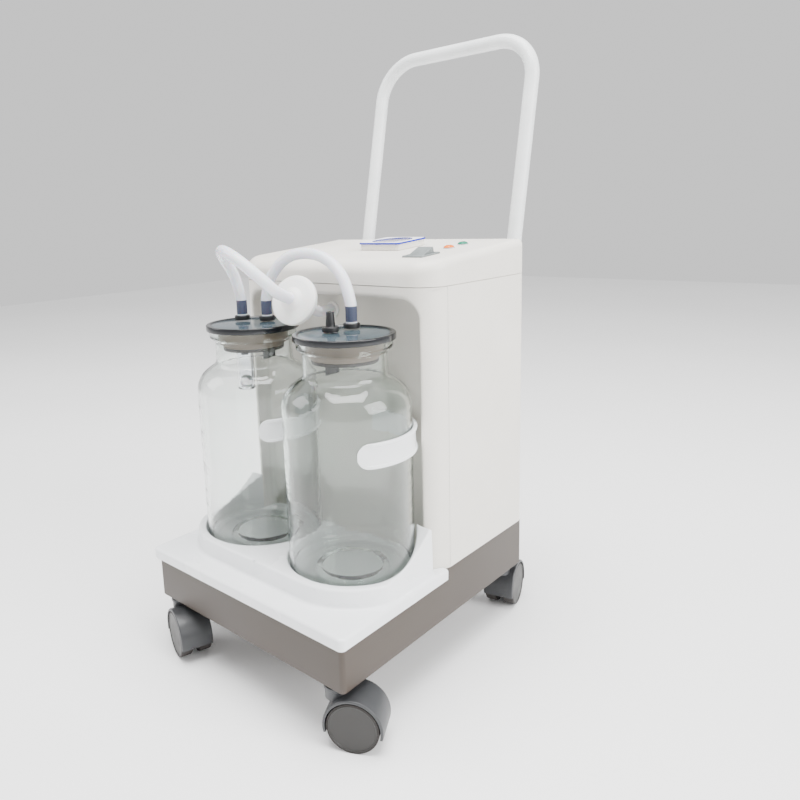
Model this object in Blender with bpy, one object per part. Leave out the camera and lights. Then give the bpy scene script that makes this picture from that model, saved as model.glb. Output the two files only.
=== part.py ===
"""Portable twin-jar suction pump on castors: a hospital ward machine.

Lengths are in metres and +Z is up. Every piece hangs from one empty that stands on the floor
under the middle of the base, with +X to the machine's right-hand side seen from the front and
the front of the machine towards -Y. That empty is shifted along Y so that the world origin is
the bottom centre of the whole machine's box.
"""
import bmesh
import bpy
import math
from mathutils import Matrix, Vector

# ---- fits -------------------------------------------------------------------------------
GAP = 0.0003            # between pieces that touch
RUN = 0.0008            # round a piece that turns or slides

# ---- castors ----------------------------------------------------------------------------
WHEEL_RADIUS = 0.025
WHEEL_WIDTH = 0.0130
WHEEL_HUB_GAP = 0.0045      # from the middle of the castor to a wheel's inner face
HOOD_WALL = 0.0026
HOOD_CLEAR = 0.0012         # between a wheel and its hood
TRAIL = 0.018               # from the swivel axis to the axle
STEM_RADIUS = 0.005
STEM_INSET_X = 0.0203       # from a side of the base to a swivel axis
STEM_INSET_Y = 0.0131
BASE_BOTTOM = 0.060         # height of the base's underside above the floor
# where each castor stands round the base (sign of x, sign of y) and how far it is turned
CASTORS = {
    "front_right": (1, -1, 27.0),
    "front_left": (-1, -1, -18.0),
    "rear_right": (1, 1, 103.6),
    "rear_left": (-1, 1, 200.0),
}

# ---- base and tray ----------------------------------------------------------------------
BASE_WIDTH = 0.2825
BASE_DEPTH = 0.3202
BASE_HEIGHT = 0.055
BASE_WALL = 0.003
BASE_CORNER = 0.005
TRAY_OVERHANG = 0.0043
TRAY_SKIN = 0.003
TRAY_LIP = 0.0124
LEDGE_HEIGHT = 0.019
LEDGE_WALL = 0.009          # round a jar's pocket
UPSTAND_RISE = 0.021        # how far the ledge climbs where it meets the cabinet
UPSTAND_RUN = 0.045

# ---- cabinet ----------------------------------------------------------------------------
CABINET_SETBACK = 0.142     # from the base's front edge to the cabinet's front
MOULDING_DEPTH = 0.0277
CABINET_CORNER = 0.030
REAR_CORNER = 0.006
CABINET_HEIGHT = 0.2944     # of the front moulding and the rear shell
PANEL_WALL = 0.003
FRONT_WALL = 0.0042         # of the front moulding
RECESS_SIDE = 0.0184        # from the cabinet's side to the recess
RECESS_TOP = 0.0117         # from the top of the moulding down to the recess
RECESS_DEPTH = 0.026
RECESS_CORNER = 0.020

# ---- sloping top ------------------------------------------------------------------------
COVER_BACK_HEIGHT = 0.0383
COVER_SLOPE = 4.3           # degrees, falling towards the front
COVER_ROUND = 0.009
VENT_COUNT = 9

# ---- jars -------------------------------------------------------------------------------
JAR_RADIUS = 0.065
JAR_SPACING = 0.1364
JAR_SETBACK = 0.0983        # from the base's front edge to the jars' axes
JAR_BODY_TOP = 0.165        # heights above the jar's foot
JAR_NECK_BOTTOM = 0.211
JAR_BEAD_BOTTOM = 0.2365
JAR_HEIGHT = 0.2457
JAR_NECK_RADIUS = 0.0423
JAR_BEAD_RADIUS = 0.0478
JAR_WALL = 0.003
JAR_FLOOR = 0.005
PUNT_RADIUS = 0.036
POCKET_CLEAR = 0.002
LID_RADIUS = 0.051
LID_THICK = 0.0045
STOPPER_LENGTH = 0.024
STOPPER_TIP_RADIUS = 0.0328
STOPPER_CLEAR = 0.0008

# ---- lid ports, places measured from each jar's axis ------------------------------------
PORT_FLANGE_RADIUS = 0.0086
PORT_FLANGE_HEIGHT = 0.0048
BARB_FOOT_RADIUS = 0.0048
BARB_TIP_RADIUS = 0.0037
BARB_LENGTH = 0.0147
PORT_BORE = 0.0022
SHANK_RADIUS = 0.0044
WIDE_SHANK_RADIUS = 0.0071
SHANK_BELOW = 0.0105        # how far a narrow shank reaches below its stopper
WIDE_SHANK_BELOW = 0.0135
PORTS = {
    "left_lid_pump_port": (-1, -0.0257, 0.0074),
    "left_lid_link_port": (-1, 0.0042, 0.0181),
    "right_lid_link_port": (1, -0.0110, 0.0239),
    "right_lid_patient_port": (1, -0.0139, -0.0041),
}
WIDE_SHANKS = ("left_lid_link_port", "right_lid_patient_port")
SPOUT_SLANT = 20.0          # degrees, on the lower ends of the wide shanks
CAGE_RADIUS = 0.010
CAGE_WALL = 0.0012
CAGE_LENGTH = 0.050
BALL_RADIUS = 0.0072

# ---- jar arms ---------------------------------------------------------------------------
ARM_CLEAR = 0.0008
ARM_WEB = 0.0021
ARM_RIB = 0.0015
ARM_HEIGHT = 0.024
ARM_RIB_HEIGHT = 0.003
ARM_LEVEL = 0.1447          # middle of the arm above the jar's foot
ARM_TIP_ANGLE = -40.7
ARM_ROOT_ANGLE = 108.0
ARM_STEPS = 22

# ---- console pieces, places from the middle of the cabinet's front edge, up the slope ----
GAUGE_PLACE = (0.0185, 0.0989)
GAUGE_SIZE = (0.056, 0.0508)
GAUGE_HEIGHT = 0.0088
GAUGE_PLATE = 0.0016
GAUGE_CORNER = 0.004
GAUGE_CAVITY_RADIUS = 0.0232
GAUGE_CAVITY_DEPTH = 0.0066
DIAL_THICK = 0.001
NEEDLE_LENGTH = 0.019
NEEDLE_START = 135.0        # degrees anticlockwise from the console's right, at zero vacuum
SWITCH_PLACE = (0.0995, 0.0425)
SWITCH_SIZE = (0.0255, 0.0325)
SWITCH_FLANGE = 0.0016
SWITCH_BODY_DEPTH = 0.016
ROCKER_SIZE = (0.0185, 0.0255)
ROCKER_TILT = 17.0          # angle of the rocker's face to the frame
LAMP_PLACES = {"vacuum_lamp": (0.0965, 0.0968), "power_lamp": (0.0955, 0.1255)}
LAMP_RADIUS = 0.0062
LAMP_SHANK_RADIUS = 0.0048
LAMP_SHANK_LENGTH = 0.012

# ---- push handle ------------------------------------------------------------------------
HANDLE_TUBE = 0.0083        # radius
HANDLE_SPACING = 0.2235
HANDLE_FOOT = 0.236         # height of the lower ends above the floor
HANDLE_KNEE = 0.337         # height where the posts start to lean back
HANDLE_LEAN = 11.65
HANDLE_LEAN_LENGTH = 0.348
HANDLE_BEND = 0.050
KNEE_BEND = 0.060
CLAMP_HEIGHT = 0.068
CLAMP_WALL = 0.005
CLAMP_LEVEL = 0.285

# ---- filter and hoses -------------------------------------------------------------------
HOSE_RADIUS = 0.006
HOSE_STEP = 0.0125          # between the points along a hose
FILTER_CENTRE = (-0.0012, -0.0600, 0.3964)
FILTER_AXIS = (-0.213, 0.915, -0.342)   # from the jar side to the pump side
FILTER_RADIUS = 0.0262
FILTER_RIM = 0.0034
FILTER_CONE = 0.0045
FILTER_BARB = 0.0135
MEMBRANE_THICK = 0.0006
INLET_PLACE = (-0.0105, 0.3785)         # x and height on the floor of the recess
# the middle points of each hose; its ends are worked out from the barbs it meets
LINK_ROUTE = [
    (-0.0581, -0.0424, 0.4135), (-0.0531, -0.0417, 0.4205),
    (-0.0471, -0.0412, 0.4270), (-0.0401, -0.0406, 0.4330), (-0.0323, -0.0401, 0.4378),
    (-0.0237, -0.0393, 0.4411), (-0.0148, -0.0385, 0.4429), (-0.0056, -0.0376, 0.4435),
    (0.0035, -0.0366, 0.4431), (0.0125, -0.0356, 0.4414), (0.0212, -0.0348, 0.4383),
    (0.0291, -0.0341, 0.4336), (0.0374, -0.0351, 0.4279), (0.0443, -0.0358, 0.4208),
    (0.0500, -0.0366, 0.4127),
]
FILTER_ROUTE = [
    (-0.0943, -0.0603, 0.4160), (-0.0930, -0.0655, 0.4240),
    (-0.0913, -0.0713, 0.4312), (-0.0882, -0.0777, 0.4373), (-0.0823, -0.0852, 0.4422),
    (-0.0753, -0.0924, 0.4460), (-0.0673, -0.0990, 0.4486), (-0.0585, -0.1050, 0.4500),
    (-0.0490, -0.1099, 0.4499), (-0.0391, -0.1135, 0.4485), (-0.0290, -0.1156, 0.4456),
    (-0.0193, -0.1159, 0.4413), (-0.0104, -0.1143, 0.4356), (-0.0030, -0.1107, 0.4289),
    (0.0023, -0.1052, 0.4216), (0.0052, -0.0980, 0.4144),
]
PUMP_HOSE_STEP = 0.008      # the same on the short hose to the pump

# ---- pump inside the cabinet ------------------------------------------------------------
MOTOR_CENTRE = (0.0, 0.088, 0.186)
MOTOR_RADIUS = 0.044
MOTOR_LENGTH = 0.076
ROTOR_RADIUS = 0.027
ROTOR_LENGTH = 0.060
AIR_GAP = 0.0008
SHAFT_RADIUS = 0.005
CRANK_THROW = 0.004
CRANK_RADIUS = 0.012
CRANK_THICK = 0.010
CASE_LENGTH = 0.044
CASE_WIDTH = 0.060
CASE_HEIGHT = 0.058
CYLINDER_RADIUS = 0.0165
FIN_REACH = 0.005
CYLINDER_HEIGHT = 0.034
HEAD_FINS = 3
PISTON_TRAVEL = 0.004
FOOT_HEIGHT = 0.006
LEG_WIDTH = 0.036
INLET_SOCKET = (0.028, 0.022)   # opening for the mains lead, on the back
INLET_SOCKET_PLACE = (-0.085, 0.150)

# ---- worked out from the sizes above ----------------------------------------------------
BASE_TOP = BASE_BOTTOM + BASE_HEIGHT
TRAY_TOP = BASE_TOP + GAP + TRAY_SKIN
LEDGE_TOP = TRAY_TOP + LEDGE_HEIGHT
FRONT_Y = -BASE_DEPTH / 2
BACK_Y = BASE_DEPTH / 2
CABINET_FRONT = FRONT_Y + CABINET_SETBACK
SEAM_Y = CABINET_FRONT + MOULDING_DEPTH
CABINET_HALF = BASE_WIDTH / 2
CABINET_BOTTOM = BASE_TOP + GAP
CABINET_TOP = CABINET_BOTTOM + CABINET_HEIGHT
RECESS_HALF = CABINET_HALF - RECESS_SIDE
RECESS_FLOOR = CABINET_FRONT + RECESS_DEPTH
RECESS_HEAD = CABINET_TOP - RECESS_TOP
JAR_X = JAR_SPACING / 2
JAR_Y = FRONT_Y + JAR_SETBACK
JAR_FOOT = TRAY_TOP + GAP
JAR_TOP = JAR_FOOT + JAR_HEIGHT
LID_TOP = JAR_TOP + GAP + LID_THICK
POCKET_RADIUS = JAR_RADIUS + POCKET_CLEAR
LEDGE_RADIUS = POCKET_RADIUS + LEDGE_WALL
COVER_BOTTOM = CABINET_TOP + GAP
COVER_BACK = COVER_BOTTOM + COVER_BACK_HEIGHT
SLOPE = math.tan(math.radians(COVER_SLOPE))
COVER_FRONT = COVER_BACK - SLOPE * (BACK_Y - CABINET_FRONT)
STEM_X = BASE_WIDTH / 2 - STEM_INSET_X
STEM_Y = BASE_DEPTH / 2 - STEM_INSET_Y
HOOD_RADIUS = WHEEL_RADIUS + HOOD_CLEAR + HOOD_WALL
CASTOR_HALF = WHEEL_HUB_GAP + WHEEL_WIDTH + GAP
POST_Y = BACK_Y + HANDLE_TUBE + GAP
LEAN = math.radians(HANDLE_LEAN)
HANDLE_TOP_Y = POST_Y + HANDLE_LEAN_LENGTH * math.sin(LEAN)


def castor_reach(name):
    """How far a castor reaches along Y from the middle of the base, with its sign."""
    side_x, side_y, turn = CASTORS[name]
    angle = math.radians(turn)
    axle_y = side_y * STEM_Y + TRAIL * math.sin(angle)
    spread = CASTOR_HALF * abs(math.cos(angle)) + HOOD_RADIUS * abs(math.sin(angle))
    return axle_y + side_y * spread


FRONT_REACH = min([FRONT_Y - TRAY_OVERHANG, castor_reach("front_left"), castor_reach("front_right")])
BACK_REACH = HANDLE_TOP_Y + HANDLE_TUBE
ORIGIN_SHIFT = -(FRONT_REACH + BACK_REACH) / 2


# ---- materials --------------------------------------------------------------------------
def srgb(code):
    """Linear colour of an sRGB hex code."""
    channels = [int(code[i:i + 2], 16) / 255 for i in (1, 3, 5)]
    return [c / 12.92 if c < 0.04045 else ((c + 0.055) / 1.055) ** 2.4 for c in channels] + [1.0]


def finish(name, code, roughness, metallic=0.0, glass=0.0):
    """A plain Principled material."""
    material = bpy.data.materials.new(name)
    material.use_nodes = True
    shader = material.node_tree.nodes["Principled BSDF"]
    shader.inputs["Base Color"].default_value = srgb(code)
    shader.inputs["Roughness"].default_value = roughness
    shader.inputs["Metallic"].default_value = metallic
    shader.inputs["Transmission Weight"].default_value = glass
    material.diffuse_color = srgb(code)
    return material


# ---- shapes -----------------------------------------------------------------------------
def add_piece(name, mesh_data, material, parent, place=(0, 0, 0), turn=None, sharp=35.0):
    """Turn a bmesh into a named object under its parent, shaded smooth up to sharp degrees."""
    bmesh.ops.recalc_face_normals(mesh_data, faces=mesh_data.faces)
    mesh = bpy.data.meshes.new(name)
    mesh_data.to_mesh(mesh)
    mesh_data.free()
    mesh.materials.append(material)
    mesh.shade_smooth()
    mesh.set_sharp_from_angle(angle=math.radians(sharp))
    piece = bpy.data.objects.new(name, mesh)
    bpy.context.scene.collection.objects.link(piece)
    piece.parent = parent
    piece.location = place
    if turn is not None:
        piece.rotation_mode = "QUATERNION"
        piece.rotation_quaternion = turn
    return piece


def prism(outline, low, high):
    """Outline in X and Y, a list of points, raised from low to high along Z."""
    shape = bmesh.new()
    bottom = [shape.verts.new((x, y, low)) for x, y in outline]
    top = [shape.verts.new((x, y, high)) for x, y in outline]
    shape.faces.new(list(reversed(bottom)))
    shape.faces.new(top)
    count = len(outline)
    for i in range(count):
        j = (i + 1) % count
        shape.faces.new((bottom[i], bottom[j], top[j], top[i]))
    return shape


def block(low, high):
    """A box between two opposite corners."""
    outline = [(low[0], low[1]), (high[0], low[1]), (high[0], high[1]), (low[0], high[1])]
    return prism(outline, low[2], high[2])


def turned(profile, sides):
    """Radius and height pairs turned about Z; ends on the axis close as poles, others as a ring."""
    shape = bmesh.new()
    rows = []
    for radius, height in profile:
        if radius == 0:
            rows.append([shape.verts.new((0, 0, height))])
        else:
            ring = [(math.cos(2 * math.pi * k / sides),
                     math.sin(2 * math.pi * k / sides)) for k in range(sides)]
            rows.append([shape.verts.new((radius * c, radius * s, height)) for c, s in ring])
    pairs = list(zip(rows, rows[1:]))
    if len(rows[0]) > 1:
        pairs.append((rows[-1], rows[0]))
    for first, second in pairs:
        for k in range(sides):
            n = (k + 1) % sides
            corners = [first[k % len(first)], first[n % len(first)],
                       second[n % len(second)], second[k % len(second)]]
            shape.faces.new(list(dict.fromkeys(corners)))
    return shape


def arc(centre, radius, start, end, steps):
    """Points round a centre from one angle to another, in degrees, both ends included."""
    points = []
    for k in range(steps + 1):
        a = math.radians(start + (end - start) * k / steps)
        points.append((centre[0] + radius * math.cos(a), centre[1] + radius * math.sin(a)))
    return points


def rounded(x0, x1, y0, y1, front, back, steps=4):
    """Rectangle with one radius on its two front corners and another on its two back ones."""
    points = arc((x0 + front, y0 + front), front, 180, 270, steps)
    points += arc((x1 - front, y0 + front), front, 270, 360, steps)
    points += arc((x1 - back, y1 - back), back, 0, 90, steps)
    points += arc((x0 + back, y1 - back), back, 90, 180, steps)
    return points


def facing(direction):
    """Rotation that turns +Z to a direction."""
    return Vector((0, 0, 1)).rotation_difference(Vector(direction))


UP_TO_FRONT = facing((0, -1, 0))
UP_TO_SIDE = facing((1, 0, 0))


def cutter(name, mesh_data, parent, place=(0, 0, 0), turn=None):
    """A hidden helper solid for a Boolean."""
    tool = add_piece(name, mesh_data, HELPER, parent, place, turn)
    tool.hide_render = True
    tool.display_type = "WIRE"
    return tool


def combine(piece, tool, operation):
    """Add an exact Boolean to a piece."""
    step = piece.modifiers.new(operation.lower() + "_" + tool.name, "BOOLEAN")
    step.operation = operation
    step.solver = "EXACT"
    step.object = tool


def cut(piece, name, mesh_data, place=(0, 0, 0), turn=None):
    """Take a helper solid away from a piece."""
    combine(piece, cutter(name, mesh_data, piece.parent, place, turn), "DIFFERENCE")


def join(piece, name, mesh_data, place=(0, 0, 0), turn=None):
    """Fuse a helper solid to a piece."""
    combine(piece, cutter(name, mesh_data, piece.parent, place, turn), "UNION")


def smooth_route(points, step):
    """Catmull-Rom curve through the points, read at equal steps, as vectors."""
    knots = [Vector(p) for p in points]
    knots = [knots[0] * 2 - knots[1]] + knots + [knots[-1] * 2 - knots[-2]]
    fine = []
    for a, b, c, d in zip(knots, knots[1:], knots[2:], knots[3:]):
        for k in range(12):
            t = k / 12
            fine.append(0.5 * (2 * b + (c - a) * t + (2 * a - 5 * b + 4 * c - d) * t ** 2
                               + (3 * b - a - 3 * c + d) * t ** 3))
    fine.append(knots[-2])
    lengths = [0.0]
    for a, b in zip(fine, fine[1:]):
        lengths.append(lengths[-1] + (b - a).length)
    count = max(4, round(lengths[-1] / step))
    read = []
    i = 0
    for k in range(count + 1):
        wanted = lengths[-1] * k / count
        while i < len(fine) - 2 and lengths[i + 1] < wanted:
            i += 1
        share = (wanted - lengths[i]) / (lengths[i + 1] - lengths[i])
        read.append(fine[i].lerp(fine[i + 1], share))
    return read


def tube(name, points, radius, resolution, material, parent):
    """A round bar along the points, its ends closed, as a curve object."""
    curve = bpy.data.curves.new(name, "CURVE")
    curve.dimensions = "3D"
    curve.bevel_depth = radius
    curve.bevel_resolution = resolution
    curve.use_fill_caps = True
    curve.materials.append(material)
    spline = curve.splines.new("POLY")
    spline.points.add(len(points) - 1)
    for point, place in zip(spline.points, points):
        point.co = (*place, 1.0)
    bar = bpy.data.objects.new(name, curve)
    bpy.context.scene.collection.objects.link(bar)
    bar.parent = parent
    return bar


def empty(name, place, parent, turn=(0, 0, 0)):
    """A frame to hang pieces from."""
    frame = bpy.data.objects.new(name, None)
    bpy.context.scene.collection.objects.link(frame)
    frame.parent = parent
    frame.location = place
    frame.rotation_euler = turn
    return frame


# ---- base, tray and cabinet -------------------------------------------------------------
def make_base():
    """Pressed steel tub with an open top, holes for the castor stems and slots for cooling air."""
    half = BASE_WIDTH / 2
    tub = add_piece("base_tub", prism(rounded(-half, half, FRONT_Y, BACK_Y, BASE_CORNER, BASE_CORNER, 3),
                                      BASE_BOTTOM, BASE_TOP), STEEL_GREY, MACHINE)
    inner = rounded(-half + BASE_WALL, half - BASE_WALL, FRONT_Y + BASE_WALL, BACK_Y - BASE_WALL,
                    BASE_CORNER - BASE_WALL + 0.001, BASE_CORNER - BASE_WALL + 0.001, 3)
    cut(tub, "tub_hollow", prism(inner, BASE_BOTTOM + BASE_WALL, BASE_TOP + 0.01))
    for name, (side_x, side_y, _) in CASTORS.items():
        hole = turned([(0, -0.01), (STEM_RADIUS + GAP, -0.01), (STEM_RADIUS + GAP, 0.01), (0, 0.01)], 16)
        cut(tub, "stem_hole_" + name, hole, (side_x * STEM_X, side_y * STEM_Y, BASE_BOTTOM))


def jar_outline(radius, rear):
    """Outline round both jars: two arcs of one radius joined by a straight front, and a flat rear."""
    start = math.degrees(math.asin(min(1.0, (rear - JAR_Y) / radius)))
    points = arc((JAR_X, JAR_Y), radius, start, -90, 12)
    points = points + [(-x, y) for x, y in reversed(points)]
    return list(reversed(points))


def make_tray():
    """White moulded tray: a lip over the base, a ledge round both jars and a tongue under them."""
    half = BASE_WIDTH / 2 + TRAY_OVERHANG
    corner = CABINET_CORNER + GAP
    side = (CABINET_HALF - CABINET_CORNER, CABINET_FRONT + CABINET_CORNER)
    rear_end = SEAM_Y - 0.006
    top_angle = math.degrees(math.asin((rear_end - side[1]) / corner))
    low_angle = -math.degrees(math.acos((RECESS_HALF - GAP - side[0]) / corner))
    ear = arc(side, corner, top_angle, low_angle, 9)
    front = arc((half - 0.006, FRONT_Y - TRAY_OVERHANG + 0.006), 0.006, -90, 0, 3)
    right = front + [(half, rear_end)] + ear + [(RECESS_HALF - GAP, RECESS_FLOOR - GAP)]
    outline = right + [(-x, y) for x, y in reversed(right)]
    tray = add_piece("jar_tray", prism(outline, TRAY_TOP - TRAY_LIP, TRAY_TOP), WHITE_TRAY, MACHINE)
    ledge_rear = CABINET_FRONT - GAP
    ledge = prism(jar_outline(LEDGE_RADIUS, ledge_rear), BASE_TOP + GAP, LEDGE_TOP)
    join(tray, "tray_ledge", ledge)
    for side_x in (-1, 1):
        rise = [(ledge_rear - UPSTAND_RUN, LEDGE_TOP - 0.001),
                (ledge_rear - UPSTAND_RUN * 0.45, LEDGE_TOP + UPSTAND_RISE * 0.4),
                (ledge_rear, LEDGE_TOP + UPSTAND_RISE), (ledge_rear, TRAY_TOP - 0.001),
                (ledge_rear - UPSTAND_RUN, TRAY_TOP - 0.001)]
        wing = prism(rise, 0, 0.0185)
        spin = Matrix(((0, 0, 1), (1, 0, 0), (0, 1, 0))).to_quaternion()
        rear_reach = ledge_rear - UPSTAND_RUN - JAR_Y
        inner_x = JAR_X + math.sqrt(LEDGE_RADIUS ** 2 - rear_reach ** 2) - 0.0185 - 0.006
        place = (inner_x if side_x > 0 else -inner_x - 0.0185, 0, 0)
        join(tray, "tray_upstand_%s" % ("right" if side_x > 0 else "left"), wing, place, spin)
    for side_x in (-1, 1):
        pocket = turned([(0, TRAY_TOP), (POCKET_RADIUS, TRAY_TOP), (POCKET_RADIUS, LEDGE_TOP + 0.05),
                         (0, LEDGE_TOP + 0.05)], 40)
        cut(tray, "pocket_%s" % ("right" if side_x > 0 else "left"), pocket, (side_x * JAR_X, JAR_Y, 0))
    inner = BASE_WIDTH / 2 + GAP
    rear_cut = CABINET_FRONT + 0.06
    under = block((-inner, FRONT_Y - GAP, TRAY_TOP - TRAY_LIP - 0.01), (inner, rear_cut, BASE_TOP + GAP))
    cut(tray, "tray_underside", under)


def make_front_panel():
    """White front moulding: rounded corners and a deep recess that takes the backs of the jars."""
    half = CABINET_HALF
    corner = CABINET_CORNER
    right = arc((half - corner, CABINET_FRONT + corner), corner, -90, -4.4, 10)
    skin = [(x, min(y, SEAM_Y)) for x, y in right if y < SEAM_Y] + [(half, SEAM_Y)]
    outline = [(-x, y) for x, y in reversed(skin)] + skin
    panel = add_piece("front_panel", prism(outline, CABINET_BOTTOM, CABINET_TOP), WHITE_PANEL, MACHINE)
    wall = FRONT_WALL
    inner_right = arc((half - corner, CABINET_FRONT + corner), corner - wall, -90, 0, 6)
    inner = [(-x, y) for x, y in reversed(inner_right)] + inner_right
    inner = [(-half + wall, SEAM_Y + 0.02)] + inner + [(half - wall, SEAM_Y + 0.02)]
    cut(panel, "panel_hollow", prism(inner, CABINET_BOTTOM + wall, CABINET_TOP - wall))
    spin = facing((0, -1, 0))
    pan_wall = PANEL_WALL
    pan = recess_outline(pan_wall)
    pan_front = CABINET_FRONT + wall - 0.0001
    join(panel, "recess_pan", prism(pan, -(RECESS_FLOOR + pan_wall), -pan_front), turn=spin)
    hollow = recess_outline(0)
    low = [(x, min(h, CABINET_BOTTOM - 0.01) if h <= CABINET_BOTTOM + wall else h) for x, h in hollow]
    cut(panel, "recess_hollow", prism(low, -RECESS_FLOOR, -(CABINET_FRONT - 0.01)), turn=spin)
    cut(panel, "inlet_hole", turned([(0, -0.02), (0.0062, -0.02), (0.0062, 0.02), (0, 0.02)], 16),
        (INLET_PLACE[0], RECESS_FLOOR, INLET_PLACE[1]), spin)


def recess_outline(grow):
    """Recess outline in X and height, rounded at the top; grow adds a wall round it.

    The outline is drawn for a prism whose +Z is turned to the front, which turns +Y to +Z.
    """
    half = RECESS_HALF + grow
    top = RECESS_HEAD + grow
    radius = RECESS_CORNER + grow
    bottom = CABINET_BOTTOM
    points = [(-half, bottom), (half, bottom)]
    points += arc((half - radius, top - radius), radius, 0, 90, 5)
    points += arc((radius - half, top - radius), radius, 90, 180, 5)
    return points


def make_rear_housing():
    """White U-shaped shell: both sides and the back, with cooling slots and a hole for mains."""
    half = CABINET_HALF
    wall = PANEL_WALL
    back = arc((half - REAR_CORNER, BACK_Y - REAR_CORNER), REAR_CORNER, 0, 90, 3)
    inner = arc((half - REAR_CORNER, BACK_Y - REAR_CORNER), REAR_CORNER - wall, 90, 0, 3)
    right = [(half, SEAM_Y + GAP)] + back
    inner_right = inner + [(half - wall, SEAM_Y + GAP)]
    left = [(-x, y) for x, y in reversed(right)]
    inner_left = [(-x, y) for x, y in reversed(inner_right)]
    housing = add_piece("rear_housing",
                        prism(right + left + inner_left + inner_right, CABINET_BOTTOM, CABINET_TOP),
                        WHITE_PANEL, MACHINE)
    for k in range(VENT_COUNT):
        level = BASE_TOP + 0.06 + k * 0.011
        slot = block((0.015, BACK_Y - 0.02, level), (0.085, BACK_Y + 0.02, level + 0.004))
        cut(housing, "vent_%d" % k, slot)
    x, level = INLET_SOCKET_PLACE
    cut(housing, "mains_hole", block((x - INLET_SOCKET[0] / 2, BACK_Y - 0.02, level - INLET_SOCKET[1] / 2),
                                     (x + INLET_SOCKET[0] / 2, BACK_Y + 0.02, level + INLET_SOCKET[1] / 2)))


def cover_height(y):
    """Height of the sloping top at a place along Y."""
    return COVER_BACK - SLOPE * (BACK_Y - y)


def cover_shape(inset, low, lift):
    """Cabinet outline moved in by inset, raised from low to the sloping plane plus lift."""
    half = CABINET_HALF - inset
    outline = rounded(-half, half, CABINET_FRONT + inset, BACK_Y - inset, CABINET_CORNER - inset,
                      max(REAR_CORNER - inset, 0.001), 6)
    shape = prism(outline, low, COVER_BACK + 0.02)
    for vertex in shape.verts:
        if vertex.co.z > low + 0.001:
            vertex.co.z = cover_height(vertex.co.y) + lift
    return shape


def make_cover():
    """White top cover with a console that slopes to the front and rounded upper edges."""
    shape = cover_shape(0, COVER_BOTTOM, 0)
    edges = [e for e in shape.edges if all(v.co.z > COVER_BOTTOM + 0.001 for v in e.verts)]
    bmesh.ops.bevel(shape, geom=edges, offset=COVER_ROUND, segments=3, profile=0.5, affect="EDGES")
    cover = add_piece("top_cover", shape, WHITE_PANEL, MACHINE, sharp=50)
    cut(cover, "cover_hollow", cover_shape(PANEL_WALL + 0.001, COVER_BOTTOM - 0.01, -PANEL_WALL - 0.003))
    x, y = SWITCH_PLACE
    body_x = SWITCH_SIZE[0] / 2 - 0.0015
    body_y = SWITCH_SIZE[1] / 2 - 0.0015
    hole = block((x - body_x, y - body_y, -0.02), (x + body_x, y + body_y, 0.01))
    combine(cover, cutter("switch_hole", hole, CONSOLE), "DIFFERENCE")
    for name, (x, y) in LAMP_PLACES.items():
        radius = LAMP_SHANK_RADIUS + GAP
        hole = turned([(0, -0.02), (radius, -0.02), (radius, 0.01), (0, 0.01)], 16)
        combine(cover, cutter("hole_" + name, hole, CONSOLE, (x, y, 0)), "DIFFERENCE")


# ---- console ----------------------------------------------------------------------------
def make_gauge():
    """Square vacuum gauge: case, edged plate, dial and needle."""
    x, y = GAUGE_PLACE
    half_x = GAUGE_SIZE[0] / 2
    half_y = GAUGE_SIZE[1] / 2
    outline = rounded(-half_x, half_x, -half_y, half_y, GAUGE_CORNER, GAUGE_CORNER, 3)
    case_top = GAUGE_HEIGHT - GAUGE_PLATE - GAP
    case = add_piece("gauge_case", prism(outline, GAP, case_top), WHITE_PANEL, CONSOLE, (x, y, 0))
    pot = [(0, case_top - GAUGE_CAVITY_DEPTH), (GAUGE_CAVITY_RADIUS, case_top - GAUGE_CAVITY_DEPTH),
           (GAUGE_CAVITY_RADIUS, case_top + 0.01), (0, case_top + 0.01)]
    cut(case, "gauge_pot", turned(pot, 32), (x, y, 0))
    edge = 0.0012
    plate_outline = rounded(-half_x - edge, half_x + edge, -half_y - edge, half_y + edge, GAUGE_CORNER,
                            GAUGE_CORNER, 3)
    plate = add_piece("gauge_plate", prism(plate_outline, case_top + GAP, GAUGE_HEIGHT), BLUE_EDGE,
                      CONSOLE, (x, y, 0))
    ring = [(0, case_top - 0.01), (GAUGE_CAVITY_RADIUS, case_top - 0.01),
            (GAUGE_CAVITY_RADIUS, GAUGE_HEIGHT + 0.01),
            (0, GAUGE_HEIGHT + 0.01)]
    cut(plate, "plate_hole", turned(ring, 32), (x, y, 0))
    dial_low = case_top - GAUGE_CAVITY_DEPTH + GAP
    dial = [(0.0016, dial_low), (GAUGE_CAVITY_RADIUS - GAP, dial_low),
            (GAUGE_CAVITY_RADIUS - GAP, dial_low + DIAL_THICK),
            (0.0016, dial_low + DIAL_THICK)]
    add_piece("gauge_dial", turned(dial, 32), DIAL_WHITE, CONSOLE, (x, y, 0))
    axis = empty("needle_axis", (x, y, dial_low + DIAL_THICK + 0.0006), CONSOLE,
                 (0, 0, math.radians(NEEDLE_START)))
    needle = prism([(-0.005, -0.0009), (0.0, -0.0013), (NEEDLE_LENGTH, -0.0003), (NEEDLE_LENGTH, 0.0003),
                    (0.0, 0.0013), (-0.005, 0.0009)], 0, 0.0006)
    pointer = add_piece("gauge_needle", needle, BLACK_PLASTIC, axis)
    join(pointer, "needle_hub",
         turned([(0, -0.0012), (0.0011, -0.0012), (0.0011, -0.0002), (0.0024, -0.0002),
                                        (0.0024, 0.0014), (0, 0.0014)], 16))


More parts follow.
